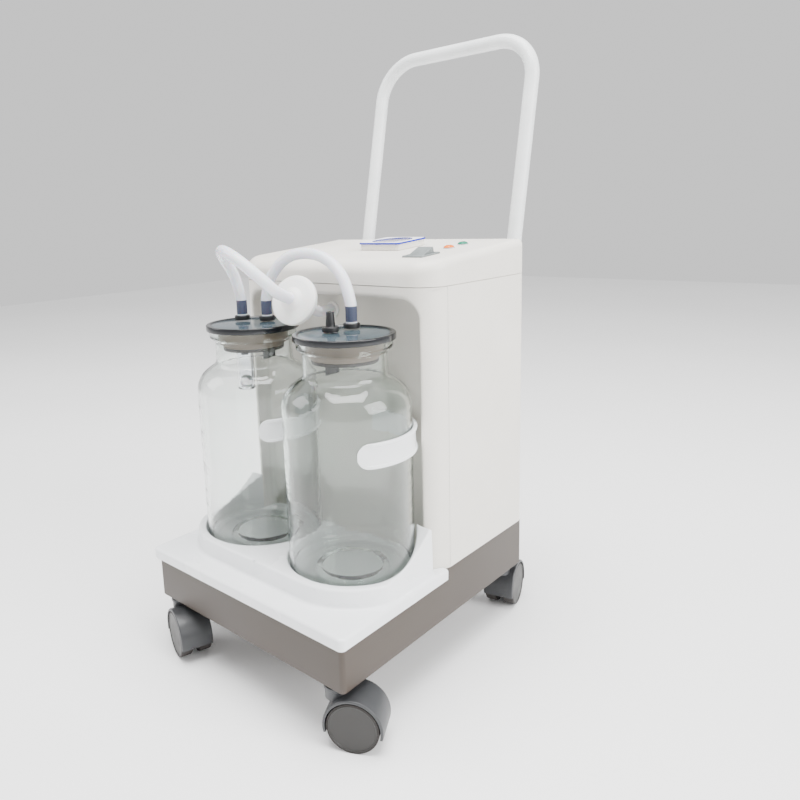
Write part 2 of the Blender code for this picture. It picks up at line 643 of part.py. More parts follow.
def make_switch():
    """Grey mains rocker switch: a flanged frame sunk in the console, and its rocker."""
    x, y = SWITCH_PLACE
    half_x = SWITCH_SIZE[0] / 2
    half_y = SWITCH_SIZE[1] / 2
    frame = add_piece("switch_frame", block((-half_x, -half_y, GAP), (half_x, half_y, SWITCH_FLANGE)),
                      GREY_PLASTIC, CONSOLE, (x, y, 0))
    body = block((-half_x + 0.0018, -half_y + 0.0018, -SWITCH_BODY_DEPTH),
                 (half_x - 0.0018, half_y - 0.0018, 0.001))
    join(frame, "switch_body", body, (x, y, 0))
    well_x = ROCKER_SIZE[0] / 2 + RUN / 2
    well_y = ROCKER_SIZE[1] / 2 + RUN / 2
    cut(frame, "switch_well",
        block((-well_x, -well_y, -SWITCH_BODY_DEPTH + 0.002), (well_x, well_y, 0.01)), (x, y, 0))
    axis = empty("rocker_axis", (x, y, -0.002), CONSOLE)
    reach = ROCKER_SIZE[1] / 2 - 0.0012
    rise = 2 * reach * math.tan(math.radians(ROCKER_TILT))
    side = [(-reach, 0.0028), (reach - 0.0034, 0.0028 + rise), (reach - 0.0024, 0.0020 + rise),
            (reach - 0.0006, 0.0),
            (0.004, -0.006), (-0.004, -0.006), (-reach + 0.001, -0.0005)]
    spin = Matrix(((0, 0, 1), (1, 0, 0), (0, 1, 0))).to_quaternion()
    add_piece("switch_rocker", prism(side, -ROCKER_SIZE[0] / 2, ROCKER_SIZE[0] / 2), GREY_PLASTIC, axis,
              turn=spin)


def make_lamps():
    """Two indicator lamps with domed lenses."""
    for name, (x, y) in LAMP_PLACES.items():
        profile = [(0, -LAMP_SHANK_LENGTH), (LAMP_SHANK_RADIUS, -LAMP_SHANK_LENGTH),
                   (LAMP_SHANK_RADIUS, GAP),
                   (LAMP_RADIUS, GAP), (LAMP_RADIUS, 0.0012), (LAMP_RADIUS * 0.86, 0.0020),
                   (LAMP_RADIUS * 0.5, 0.0034),
                   (0, 0.0039)]
        add_piece(name, turned(profile, 16), LAMP_FINISH[name], CONSOLE, (x, y, 0))


# ---- handle -----------------------------------------------------------------------------
def make_handle():
    """Bent tube: two upright posts on the back that lean away above a knee, and a round top."""
    x = HANDLE_SPACING / 2
    lean_y = math.sin(LEAN)
    lean_z = math.cos(LEAN)
    half_turn = math.tan(LEAN / 2) * KNEE_BEND
    right = [Vector((x, POST_Y, HANDLE_FOOT)), Vector((x, POST_Y, HANDLE_KNEE - half_turn))]
    for k in range(1, 4):
        a = LEAN * k / 3
        right.append(Vector((x, POST_Y + KNEE_BEND * (1 - math.cos(a)),
                             HANDLE_KNEE - half_turn + KNEE_BEND * math.sin(a))))
    for k in range(9):
        a = math.pi / 2 * k / 8
        across = x - HANDLE_BEND + HANDLE_BEND * math.cos(a)
        along = HANDLE_LEAN_LENGTH - HANDLE_BEND + HANDLE_BEND * math.sin(a)
        right.append(Vector((across, POST_Y + along * lean_y, HANDLE_KNEE + along * lean_z)))
    left = [Vector((-p.x, p.y, p.z)) for p in reversed(right)]
    tube("push_handle", right + left, HANDLE_TUBE, 3, WHITE_TUBE, MACHINE)
    for side_x, side in ((-1, "left"), (1, "right")):
        low = CLAMP_LEVEL - CLAMP_HEIGHT / 2
        high = CLAMP_LEVEL + CLAMP_HEIGHT / 2
        wide = HANDLE_TUBE + CLAMP_WALL
        saddle = block((-wide, BACK_Y + GAP, low), (wide, POST_Y + wide, high))
        clamp = add_piece("handle_clamp_" + side, saddle, STEEL_GREY, MACHINE, (side_x * x, 0, 0))
        bore = HANDLE_TUBE + GAP
        slot = turned([(0, low - 0.05), (bore, low - 0.05), (bore, high + 0.05), (0, high + 0.05)], 24)
        cut(clamp, "clamp_bore_" + side, slot, (side_x * x, POST_Y, 0))
        slit = block((-0.004, BACK_Y - 0.01, low - 0.05), (0.004, POST_Y, high + 0.05))
        cut(clamp, "clamp_slit_" + side, slit, (side_x * x, 0, 0))


# ---- jars, lids and ports ---------------------------------------------------------------
def jar_profile():
    """Outer then inner profile of a jar: foot, body, S-shaped shoulder, neck and mouth bead."""
    outer = [(0, 0.0025), (PUNT_RADIUS - 0.002, 0.0025), (PUNT_RADIUS, 0), (JAR_RADIUS - 0.009, 0)]
    outer += [(JAR_RADIUS - 0.0026, 0.0022), (JAR_RADIUS, 0.009), (JAR_RADIUS, JAR_BODY_TOP)]
    drop = JAR_NECK_BOTTOM - JAR_BODY_TOP
    inset = JAR_RADIUS - JAR_NECK_RADIUS
    shoulder = [(0.30, 0.035), (0.55, 0.16), (0.74, 0.42), (0.86, 0.72), (0.95, 0.93)]
    for up, across in shoulder:
        outer.append((JAR_RADIUS - inset * across, JAR_BODY_TOP + drop * up))
    outer += [(JAR_NECK_RADIUS, JAR_NECK_BOTTOM), (JAR_NECK_RADIUS, JAR_BEAD_BOTTOM - 0.003),
              (JAR_BEAD_RADIUS, JAR_BEAD_BOTTOM), (JAR_BEAD_RADIUS, JAR_HEIGHT - 0.002),
              (JAR_BEAD_RADIUS - 0.002, JAR_HEIGHT)]
    wall = JAR_WALL
    inner = [(JAR_NECK_RADIUS - wall, JAR_HEIGHT), (JAR_NECK_RADIUS - wall, JAR_NECK_BOTTOM)]
    for up, across in reversed(shoulder):
        inner.append((JAR_RADIUS - wall - inset * across, JAR_BODY_TOP - wall / 2 + drop * up))
    inner += [(JAR_RADIUS - wall, JAR_BODY_TOP - wall), (JAR_RADIUS - wall, 0.012),
              (JAR_RADIUS - wall - 0.004, 0.0025 + JAR_FLOOR), (0, 0.0025 + JAR_FLOOR)]
    return outer + inner


def shank_radius(name):
    """Radius of a port's shank under the lid."""
    return WIDE_SHANK_RADIUS if name in WIDE_SHANKS else SHANK_RADIUS


def make_jars():
    """Two glass jars with lids and stoppers."""
    for side_x, side in ((-1, "left"), (1, "right")):
        place = (side_x * JAR_X, JAR_Y, JAR_FOOT)
        add_piece("jar_" + side, turned(jar_profile(), 32), GLASS, MACHINE, place)
        top = JAR_HEIGHT + GAP
        cap = [(0, top), (LID_RADIUS - 0.0008, top), (LID_RADIUS, top + 0.001),
               (LID_RADIUS, top + LID_THICK - 0.001),
               (LID_RADIUS - 0.001, top + LID_THICK), (LID_RADIUS - 0.0035, top + LID_THICK - 0.0008),
               (0, top + LID_THICK - 0.0012)]
        lid = add_piece("jar_lid_" + side, turned(cap, 32), DARK_LID, MACHINE, place)
        neck = JAR_NECK_RADIUS - JAR_WALL - STOPPER_CLEAR
        low = JAR_HEIGHT - STOPPER_LENGTH
        plug = [(0, low), (STOPPER_TIP_RADIUS, low), (STOPPER_TIP_RADIUS + 0.0012, low + 0.004),
                (neck, low + 0.012),
                (neck, JAR_HEIGHT), (0, JAR_HEIGHT)]
        stopper = add_piece("jar_stopper_" + side, turned(plug, 32), DARK_RUBBER, MACHINE, place)
        for name, (port_side, x, y) in PORTS.items():
            if port_side == side_x:
                radius = shank_radius(name) + GAP
                hole = [(0, low - 0.01), (radius, low - 0.01), (radius, top + 0.02), (0, top + 0.02)]
                spot = (place[0] + x, place[1] + y, place[2])
                cut(lid, "lid_hole_" + name, turned(hole, 14), spot)
                cut(stopper, "stopper_hole_" + name, turned(hole, 14), spot)


def port_shape(name):
    """A port from its shank's lower end to its barb's tip, bored through; zero is the lid's top."""
    below = WIDE_SHANK_BELOW if name in WIDE_SHANKS else SHANK_BELOW
    low = -(LID_THICK + GAP + STOPPER_LENGTH + below)
    foot = GAP
    step = foot + PORT_FLANGE_HEIGHT
    shank = shank_radius(name)
    shape = turned([(PORT_BORE, low), (shank, low), (shank, foot), (PORT_FLANGE_RADIUS, foot),
                    (PORT_FLANGE_RADIUS, step), (BARB_FOOT_RADIUS, step),
                    (BARB_TIP_RADIUS, step + BARB_LENGTH),
                    (PORT_BORE, step + BARB_LENGTH)], 14)
    if name in WIDE_SHANKS:
        for vertex in shape.verts:
            if vertex.co.z < low + 0.0001:
                vertex.co.z += vertex.co.x * math.tan(math.radians(SPOUT_SLANT))
    return shape


def make_ports():
    """Dark barbed ports through each lid, and the float valve under the pump port."""
    for name, (side_x, x, y) in PORTS.items():
        spot = (side_x * JAR_X + x, JAR_Y + y, LID_TOP)
        add_piece(name, port_shape(name), DARK_LID, MACHINE, spot)
    side_x, x, y = PORTS["left_lid_pump_port"]
    spot = (side_x * JAR_X + x, JAR_Y + y, 0)
    top = JAR_TOP - STOPPER_LENGTH - GAP
    low = top - CAGE_LENGTH
    bore = SHANK_RADIUS + GAP
    inner = CAGE_RADIUS - CAGE_WALL
    cage = [(bore, top), (bore, top - 0.004), (inner, top - 0.006), (inner, low + 0.002),
            (inner - 0.003, low + 0.002),
            (inner - 0.003, low), (CAGE_RADIUS, low), (CAGE_RADIUS, top)]
    add_piece("float_cage", turned(list(reversed(cage)), 20), CLEAR_PLASTIC, MACHINE, spot)
    ball = [(0, -BALL_RADIUS)]
    for k in range(1, 8):
        a = math.pi * (k / 8 - 0.5)
        ball.append((BALL_RADIUS * math.cos(a), BALL_RADIUS * math.sin(a)))
    ball.append((0, BALL_RADIUS))
    height = low + 0.002 + BALL_RADIUS + GAP - 0.0022
    add_piece("float_ball", turned(ball, 16), WHITE_TRAY, MACHINE, (spot[0], spot[1], height))


def make_arms():
    """A ribbed arm round the right side of each jar, from the floor of the recess to a round tip."""
    inner = JAR_RADIUS + ARM_CLEAR
    web = inner + ARM_WEB
    rib = web + ARM_RIB
    half = ARM_HEIGHT / 2
    band = ARM_RIB_HEIGHT
    for side_x, side in ((-1, "left"), (1, "right")):
        shape = bmesh.new()
        rows = []
        for k in range(ARM_STEPS + 1):
            angle = math.radians(ARM_TIP_ANGLE + (ARM_ROOT_ANGLE - ARM_TIP_ANGLE) * k / ARM_STEPS)
            from_tip = web * (angle - math.radians(ARM_TIP_ANGLE))
            reach = min(1.0, (from_tip + 0.0006) / half)
            tall = half * math.sqrt(1 - (1 - reach) ** 2)
            grown = min(1.0, max(0.0, (from_tip - 0.006) / 0.010))
            out = web + (rib - web) * grown
            step = min(band, tall * 0.35)
            section = [(inner, -tall), (out, -tall), (out, step - tall), (web, step - tall + 0.0004),
                       (web, tall - step - 0.0004), (out, tall - step), (out, tall), (inner, tall)]
            rows.append([shape.verts.new((r * math.cos(angle), r * math.sin(angle), z)) for r, z in section])
        for first, second in zip(rows, rows[1:]):
            for k in range(8):
                n = (k + 1) % 8
                shape.faces.new((first[k], first[n], second[n], second[k]))
        shape.faces.new(rows[0])
        shape.faces.new(list(reversed(rows[-1])))
        add_piece("jar_arm_" + side, shape, WHITE_TRAY, MACHINE,
                  (side_x * JAR_X, JAR_Y, JAR_FOOT + ARM_LEVEL))


# ---- filter, inlet and hoses ------------------------------------------------------------
def make_filter():
    """In-line disc filter in two welded halves with a membrane between, and the inlet barb."""
    half_membrane = MEMBRANE_THICK / 2
    low = half_membrane + GAP
    bore = PORT_BORE
    profile = [(bore, low), (FILTER_RADIUS, low), (FILTER_RADIUS, low + FILTER_RIM * 0.7),
               (FILTER_RADIUS - 0.002, low + FILTER_RIM),
               (BARB_FOOT_RADIUS + 0.004, low + FILTER_RIM + FILTER_CONE),
               (BARB_FOOT_RADIUS, low + FILTER_RIM + FILTER_CONE + 0.001),
               (BARB_TIP_RADIUS, low + FILTER_RIM + FILTER_CONE + FILTER_BARB),
               (bore, low + FILTER_RIM + FILTER_CONE + FILTER_BARB)]
    axis = Vector(FILTER_AXIS)
    add_piece("filter_pump_half", turned(profile, 24), WHITE_FILTER, MACHINE, FILTER_CENTRE, facing(axis))
    add_piece("filter_jar_half", turned(profile, 24), WHITE_FILTER, MACHINE, FILTER_CENTRE, facing(-axis))
    skin = [(0, -half_membrane), (FILTER_RADIUS - 0.002, -half_membrane),
            (FILTER_RADIUS - 0.002, half_membrane),
            (0, half_membrane)]
    add_piece("filter_membrane", turned(skin, 24), WHITE_TUBE, MACHINE, FILTER_CENTRE, facing(axis))
    barb = [(bore, -0.012), (0.0058, -0.012), (0.0058, GAP), (0.0090, GAP), (0.0090, 0.0025),
            (BARB_FOOT_RADIUS, 0.0025),
            (BARB_TIP_RADIUS, 0.0025 + FILTER_BARB), (bore, 0.0025 + FILTER_BARB)]
    add_piece("pump_inlet_barb", turned(barb, 16), WHITE_FILTER, MACHINE,
              (INLET_PLACE[0], RECESS_FLOOR, INLET_PLACE[1]),
              UP_TO_FRONT)


def hose_end(place, direction, lead=HOSE_STEP):
    """Two points of a hose that comes straight off a barb's tip: its face and its first bend."""
    heading = Vector(direction).normalized()
    face = Vector(place) + heading * GAP
    return [face, face + heading * lead]


def make_hoses():
    """Silicone hoses: lid to lid, lid to filter, filter to pump."""
    barb_top = LID_TOP + GAP + PORT_FLANGE_HEIGHT + BARB_LENGTH
    ends = {}
    for name, (side_x, x, y) in PORTS.items():
        ends[name] = hose_end((side_x * JAR_X + x, JAR_Y + y, barb_top), (0, 0, 1))
    axis = Vector(FILTER_AXIS).normalized()
    middle = Vector(FILTER_CENTRE)
    reach = MEMBRANE_THICK / 2 + GAP + FILTER_RIM + FILTER_CONE + FILTER_BARB
    jar_end = hose_end(middle - axis * reach, -axis)
    pump_end = hose_end(middle + axis * reach, axis, PUMP_HOSE_STEP)
    inlet_tip = (INLET_PLACE[0], RECESS_FLOOR - 0.0025 - FILTER_BARB, INLET_PLACE[1])
    inlet_end = hose_end(inlet_tip, (0, -1, 0), PUMP_HOSE_STEP)
    routes = {
        "link_hose": ends["left_lid_link_port"] + LINK_ROUTE + ends["right_lid_link_port"][::-1],
        "filter_hose": ends["left_lid_pump_port"] + FILTER_ROUTE + jar_end[::-1],
        "pump_hose": pump_end + inlet_end[::-1],
    }
    for name, route in routes.items():
        step = PUMP_HOSE_STEP if name == "pump_hose" else HOSE_STEP
        tube(name, smooth_route(route, step), HOSE_RADIUS, 2, SILICONE, MACHINE)


# ---- pump -------------------------------------------------------------------------------
def make_pump():
    """Twin-cylinder oil-free pump: stator, rotor with cranks, two heads, pistons and feet."""
    place = MOTOR_CENTRE
    half = MOTOR_LENGTH / 2
    bore = ROTOR_RADIUS + AIR_GAP
    stator = [(bore, -half), (MOTOR_RADIUS, -half), (MOTOR_RADIUS, half), (bore, half)]
    add_piece("motor_stator", turned(stator, 32), CAST_METAL, MACHINE, place, UP_TO_SIDE)
    outer = half + GAP + CASE_LENGTH
    rotor_half = ROTOR_LENGTH / 2
    shaft = [(0, -outer + 0.004), (SHAFT_RADIUS, -outer + 0.004), (SHAFT_RADIUS, -rotor_half),
             (ROTOR_RADIUS, -rotor_half),
             (ROTOR_RADIUS, rotor_half), (SHAFT_RADIUS, rotor_half), (SHAFT_RADIUS, outer - 0.004),
             (0, outer - 0.004)]
    axis = empty("motor_axis", place, MACHINE)
    rotor = add_piece("motor_rotor", turned(shaft, 20), BRIGHT_STEEL, axis, turn=UP_TO_SIDE)
    crank_middle = half + GAP + CASE_LENGTH / 2
    for sign, side in ((-1, "left"), (1, "right")):
        crank = turned([(0, -CRANK_THICK / 2), (CRANK_RADIUS, -CRANK_THICK / 2),
                        (CRANK_RADIUS, CRANK_THICK / 2),
                        (0, CRANK_THICK / 2)], 20)
        join(rotor, "crank_" + side, crank, (sign * crank_middle, 0, -sign * CRANK_THROW), UP_TO_SIDE)
        start = half + GAP
        if sign > 0:
            low_x, high_x = place[0] + start, place[0] + start + CASE_LENGTH
        else:
            low_x, high_x = place[0] - start - CASE_LENGTH, place[0] - start
        case_top = place[2] + CASE_HEIGHT / 2
        head = add_piece("pump_head_" + side,
                         block((low_x, place[1] - CASE_WIDTH / 2, place[2] - CASE_HEIGHT / 2),
                                                    (high_x, place[1] + CASE_WIDTH / 2, case_top)),
                                                    CAST_METAL, MACHINE)
        middle = (low_x + high_x) / 2
        cavity = CRANK_RADIUS + CRANK_THROW + 0.003
        room = turned([(0, -CASE_LENGTH), (cavity, -CASE_LENGTH), (cavity, CRANK_THICK / 2 + 0.003),
                       (0, CRANK_THICK / 2 + 0.003)], 20)
        cut(head, "crank_room_" + side, room, (middle, place[1], place[2]), facing((-sign, 0, 0)))
        bearing = turned([(0, -0.1), (SHAFT_RADIUS + RUN, -0.1), (SHAFT_RADIUS + RUN, 0.1), (0, 0.1)], 16)
        barrel = [(CYLINDER_RADIUS - 0.004, case_top - 0.002), (CYLINDER_RADIUS, case_top - 0.002)]
        for k in range(HEAD_FINS):
            low = case_top + 0.005 + k * 0.009
            barrel += [(CYLINDER_RADIUS, low), (CYLINDER_RADIUS + FIN_REACH, low),
                       (CYLINDER_RADIUS + FIN_REACH, low + 0.003),
                       (CYLINDER_RADIUS, low + 0.003)]
        top = case_top + CYLINDER_HEIGHT
        barrel += [(CYLINDER_RADIUS, top), (0.003, top), (0.003, top - 0.004),
                   (CYLINDER_RADIUS - 0.004, top - 0.004)]
        join(head, "barrel_" + side, turned(barrel, 16), (middle, place[1], 0))
        hole = CYLINDER_RADIUS - 0.004
        well = turned([(0, place[2]), (hole, place[2]), (hole, case_top + 0.001), (0, case_top + 0.001)], 20)
        cut(head, "cylinder_well_" + side, well, (middle, place[1], 0))
        cut(head, "bearing_" + side, bearing, (middle, place[1], place[2]), UP_TO_SIDE)
        crown = case_top + CYLINDER_HEIGHT - 0.004 - PISTON_TRAVEL - 0.002
        rod_foot = place[2] + CRANK_RADIUS + CRANK_THROW + PISTON_TRAVEL + 0.0012
        piston = turned([(0, rod_foot), (0.004, rod_foot), (0.004, crown - 0.006),
                         (hole - RUN / 2, crown - 0.006),
                         (hole - RUN / 2, crown), (0, crown)], 20)
        add_piece("pump_piston_" + side, piston, BRIGHT_STEEL, MACHINE, (middle, place[1], 0))
        floor = BASE_BOTTOM + BASE_WALL + GAP
        leg_half = LEG_WIDTH / 2
        leg = block((low_x + 0.006, place[1] - leg_half, floor), (high_x - 0.006, place[1] + leg_half,
                                                                  place[2] - CASE_HEIGHT / 2 + 0.002))
        join(head, "pump_leg_" + side, leg)
        sole = block((low_x, place[1] - CASE_WIDTH / 2, floor),
                     (high_x, place[1] + CASE_WIDTH / 2, floor + FOOT_HEIGHT))
        join(head, "pump_sole_" + side, sole)
    x, level = INLET_SOCKET_PLACE
    wide = INLET_SOCKET[0] / 2
    tall = INLET_SOCKET[1] / 2
    socket = add_piece("mains_inlet", block((x - wide - 0.006, BACK_Y + GAP, level - tall - 0.003),
                                            (x + wide + 0.006, BACK_Y + 0.003, level + tall + 0.003)),
                                            BLACK_PLASTIC, MACHINE)
    join(socket, "inlet_body", block((x - wide + GAP, BACK_Y - 0.022, level - tall + GAP),
                                     (x + wide - GAP, BACK_Y + 0.001, level + tall - GAP)))
    cut(socket, "inlet_mouth", block((x - wide + 0.002, BACK_Y - 0.016, level - tall + 0.002),
                                     (x + wide - 0.002, BACK_Y + 0.01, level + tall - 0.002)))


# ---- castors ----------------------------------------------------------------------------
def make_castors():
    """Four hooded twin-wheel castors: hood, stem and two wheels each."""
    for name, (side_x, side_y, turn) in CASTORS.items():
        swivel = empty("swivel_" + name, (side_x * STEM_X, side_y * STEM_Y, 0), MACHINE,
                       (0, 0, math.radians(turn)))
        axle = (TRAIL, 0, WHEEL_RADIUS)
        spin = facing((0, -1, 0))
        start, end = -14.0, 194.0
        dome = arc((0, 0), HOOD_RADIUS, start, end, 18) + [(0, -0.010)]
        hood = add_piece("castor_hood_" + name, prism(dome, -CASTOR_HALF, CASTOR_HALF), GREY_CASTOR,
                         swivel, axle, spin)
        web_half = WHEEL_HUB_GAP - RUN / 2
        boss_radius = STEM_RADIUS + 0.0065
        boss = turned([(0, WHEEL_RADIUS * 1.4), (boss_radius, WHEEL_RADIUS * 1.4),
                       (boss_radius, BASE_BOTTOM - RUN),
                       (0, BASE_BOTTOM - RUN)], 20)
        join(hood, "hood_boss_" + name, boss)
        room = WHEEL_RADIUS + HOOD_CLEAR
        width = CASTOR_HALF - web_half + 0.01
        for sign, side in ((-1, "outer"), (1, "inner")):
            space = turned([(0, 0), (room, 0), (room, width), (0, width)], 36)
            cut(hood, "wheel_room_%s_%s" % (name, side), space, (TRAIL, -sign * web_half, WHEEL_RADIUS),
                facing((0, -sign, 0)))
        axle_hole = 0.0035
        cut(hood, "axle_hole_" + name,
            turned([(0, -0.02), (axle_hole + RUN, -0.02), (axle_hole + RUN, 0.02), (0, 0.02)], 14),
            axle, spin)
        stem_hole = STEM_RADIUS + RUN / 2
        stem_low = BASE_BOTTOM - 0.016
        cut(hood, "stem_room_" + name,
            turned([(0, stem_low - RUN), (stem_hole, stem_low - RUN), (stem_hole, 0.1), (0, 0.1)], 20))
        stem = [(0, stem_low), (STEM_RADIUS, stem_low), (STEM_RADIUS, BASE_BOTTOM + BASE_WALL + GAP),
                (STEM_RADIUS + 0.003, BASE_BOTTOM + BASE_WALL + GAP),
                (STEM_RADIUS + 0.003, BASE_BOTTOM + BASE_WALL + 0.004),
                (0, BASE_BOTTOM + BASE_WALL + 0.004)]
        add_piece("castor_stem_" + name, turned(stem, 16), BRIGHT_STEEL, MACHINE,
                  (side_x * STEM_X, side_y * STEM_Y, 0))
        for sign, side in ((-1, "inner"), (1, "outer")):
            hub = WHEEL_HUB_GAP
            rim = hub + WHEEL_WIDTH
            stub = RUN / 2
            wheel = [(0, stub), (axle_hole, stub), (axle_hole, hub), (WHEEL_RADIUS - 0.001, hub),
                     (WHEEL_RADIUS, hub + 0.001),
                     (WHEEL_RADIUS, rim - 0.0025), (WHEEL_RADIUS - 0.0025, rim), (0, rim)]
            add_piece("castor_wheel_%s_%s" % (name, side), turned(wheel, 24), GREY_CASTOR, swivel, axle,
                      facing((0, -sign, 0)))


# ---- build ------------------------------------------------------------------------------
for old in list(bpy.data.objects):
    bpy.data.objects.remove(old, do_unlink=True)

HELPER = finish("helper", "#808080", 0.5)
STEEL_GREY = finish("powder_coated_grey", "#80766C", 0.55)
WHITE_TRAY = finish("moulded_white_tray", "#F1F3F4", 0.35)
WHITE_PANEL = finish("moulded_white_panel", "#E6E5E1", 0.42)
WHITE_TUBE = finish("powder_coated_white", "#E8EAEA", 0.40)
WHITE_FILTER = finish("moulded_white_filter", "#F2F2F0", 0.38)
DIAL_WHITE = finish("printed_dial", "#F6F6FA", 0.5)
BLUE_EDGE = finish("blue_edged_plate", "#3A5FD0", 0.30)
GREY_PLASTIC = finish("grey_switch_plastic", "#A8ADAD", 0.45)
GREY_CASTOR = finish("grey_castor_plastic", "#6F6C69", 0.50)
BLACK_PLASTIC = finish("black_plastic", "#1C1D20", 0.45)
DARK_LID = finish("dark_lid_plastic", "#3E4146", 0.22)
DARK_RUBBER = finish("dark_rubber", "#2C2A29", 0.65)
CLEAR_PLASTIC = finish("clear_plastic", "#F4F6F8", 0.08, glass=0.9)
GLASS = finish("jar_glass", "#E6F0EA", 0.02, glass=1.0)
SILICONE = finish("milky_silicone", "#E8E8F4", 0.35, glass=0.3)
CAST_METAL = finish("cast_aluminium", "#A9ADB0", 0.45, metallic=1.0)
BRIGHT_STEEL = finish("bright_steel", "#C4C7CA", 0.28, metallic=1.0)
LAMP_FINISH = {
    "vacuum_lamp": finish("orange_lens", "#F0A04A", 0.15),
    "power_lamp": finish("green_lens", "#2F9A86", 0.15),
}

MACHINE = empty("machine", (0, ORIGIN_SHIFT, 0), None)
CONSOLE = empty("console", (0, CABINET_FRONT, COVER_FRONT), MACHINE, (math.radians(COVER_SLOPE), 0, 0))

make_base()
make_tray()
make_front_panel()
make_rear_housing()
make_cover()
make_gauge()
make_switch()
make_lamps()
make_handle()
make_jars()
make_ports()
make_arms()
make_filter()
make_hoses()
make_pump()
make_castors()
bpy.context.view_layer.update()
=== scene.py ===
"""Looks of a portable twin-jar suction pump on castors.

Shapes are worked out in millimetres round the middle of the base, x to the right seen from the
front, y to the back and z up from the floor, and build() turns them to the model's metres.
"""

import bmesh
import bpy
import math
import numpy as np
from mathutils import Matrix, Vector


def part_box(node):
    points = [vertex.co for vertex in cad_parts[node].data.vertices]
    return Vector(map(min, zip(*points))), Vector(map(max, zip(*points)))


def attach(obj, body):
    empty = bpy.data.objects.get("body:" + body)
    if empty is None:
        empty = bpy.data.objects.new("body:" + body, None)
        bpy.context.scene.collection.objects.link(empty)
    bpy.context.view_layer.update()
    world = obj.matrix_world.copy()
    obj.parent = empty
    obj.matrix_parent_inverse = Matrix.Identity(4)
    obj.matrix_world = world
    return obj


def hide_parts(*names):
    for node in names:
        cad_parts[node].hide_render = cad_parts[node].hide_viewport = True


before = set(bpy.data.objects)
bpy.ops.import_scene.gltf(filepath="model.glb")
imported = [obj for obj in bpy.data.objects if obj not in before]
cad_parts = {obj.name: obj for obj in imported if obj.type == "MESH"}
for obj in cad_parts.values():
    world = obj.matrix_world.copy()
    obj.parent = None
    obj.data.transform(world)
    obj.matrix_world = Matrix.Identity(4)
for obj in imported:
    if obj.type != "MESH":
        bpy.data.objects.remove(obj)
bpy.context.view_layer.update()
base_low, base_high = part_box("base_tub")
SHIFT = (base_low[1] + base_high[1]) / 2

# ---- the machine's sizes, in millimetres ---------------------------------------------------
BASE_HALF, FRONT, BACK = 141.25, -160.1, 160.1
BASE_LOW, BASE_TOP = 60.0, 115.0
TRAY_TOP, LIP_LOW, LEDGE_TOP = 118.3, 105.9, 137.3
CABINET_FRONT, CABINET_LOW, CABINET_TOP = -18.1, 115.3, 409.7
CORNER, RECESS_HALF, RECESS_FLOOR, RECESS_HEAD, RECESS_ROUND = 30.0, 122.85, 7.9, 398.0, 20.0
TILT = math.radians(4.3)       # the console falls towards the front
COVER_LOW, COVER_BACK, SLOPE = 410.0, 448.3, math.tan(TILT)
JAR_X, JAR_Y, JAR_FOOT, JAR_HIGH, STOPPER = 68.2, -61.8, 118.6, 245.7, 24.0
ARM_HEIGHT = 263.3             # middle of the arms round the jars
LID_TOP = 369.1
POCKET, LEDGE = 67.0, 76.0
PORTS = {
    "left_lid_pump_port": (-93.9, -54.4), "left_lid_link_port": (-64.0, -43.7),
    "right_lid_link_port": (57.2, -37.9), "right_lid_patient_port": (54.3, -65.9),
}
FILTER_AT = np.array([-1.2, -60.0, 396.4])
FILTER_AXIS = np.array([-0.213, 0.915, -0.342]) / math.sqrt(0.213 ** 2 + 0.915 ** 2 + 0.342 ** 2)
INLET_AT = np.array([-10.5, RECESS_FLOOR, 378.5])
HOSE_OUTSIDE, HOSE_BORE = 6.0, 4.0    # radii
SOFTENING = 14                 # rounds of evening out the hoses' bends
CASTORS = {"front_right": (1, -1, 27.0), "front_left": (-1, -1, -18.0),
           "rear_right": (1, 1, 103.6), "rear_left": (-1, 1, 200.0)}
STEM_X, STEM_Y, TRAIL, WHEEL_RADIUS = 120.95, 147.0, 18.0, 25.0


# ---- camera ---------------------------------------------------------------------------------
def place_camera():
    """A viewer at chest height to the machine's right front corner, looking slightly down."""
    yaw, pitch, roll = (math.radians(a) for a in (42.89, -11.09, -2.24))
    ahead = Vector((-math.sin(yaw) * math.cos(pitch), math.cos(yaw) * math.cos(pitch), math.sin(pitch)))
    level = Vector((math.cos(yaw), math.sin(yaw), 0))
    over = level.cross(ahead)
    right = level * math.cos(roll) + over * math.sin(roll)
    up = over * math.cos(roll) - level * math.sin(roll)
    lens = bpy.data.cameras.new("camera")
    camera = bpy.data.objects.new("camera", lens)
    bpy.context.scene.collection.objects.link(camera)
    turn = Matrix((right, up, -ahead)).transposed()
    camera.matrix_world = Matrix.Translation((0.53261, -0.56681 + SHIFT, 0.48268)) @ turn.to_4x4()
    lens.sensor_width = 36
    lens.lens = 32.06
    lens.shift_x = 0.0735
    lens.shift_y = -0.0582
    bpy.context.scene.camera = camera


# ---- materials ------------------------------------------------------------------------------
def srgb(code, alpha=1.0):
    """Linear colour of an sRGB hex code."""
    channels = [int(code[i:i + 2], 16) / 255 for i in (1, 3, 5)]
    return [c / 12.92 if c < 0.04045 else ((c + 0.055) / 1.055) ** 2.4 for c in channels] + [alpha]


def node(tree, kind, settings=None, inputs=None):
    """Add one node with its settings, and its inputs as values or as sockets to link from."""
    made = tree.nodes.new(kind)
    for name, value in (settings or {}).items():
        setattr(made, name, value)
    for name, value in (inputs or {}).items():
        if isinstance(value, bpy.types.NodeSocket):
            tree.links.new(value, made.inputs[name])
        else:
            made.inputs[name].default_value = value
    return made


def ramp(tree, factor, stops):
    """A colour ramp with the given (position, colour) stops."""
    made = node(tree, "ShaderNodeValToRGB", inputs={"Fac": factor})
    made.color_ramp.elements[0].position, made.color_ramp.elements[0].color = stops[0]
    made.color_ramp.elements[1].position, made.color_ramp.elements[1].color = stops[-1]
    for position, colour in stops[1:-1]:
        made.color_ramp.elements.new(position).color = colour
    return made


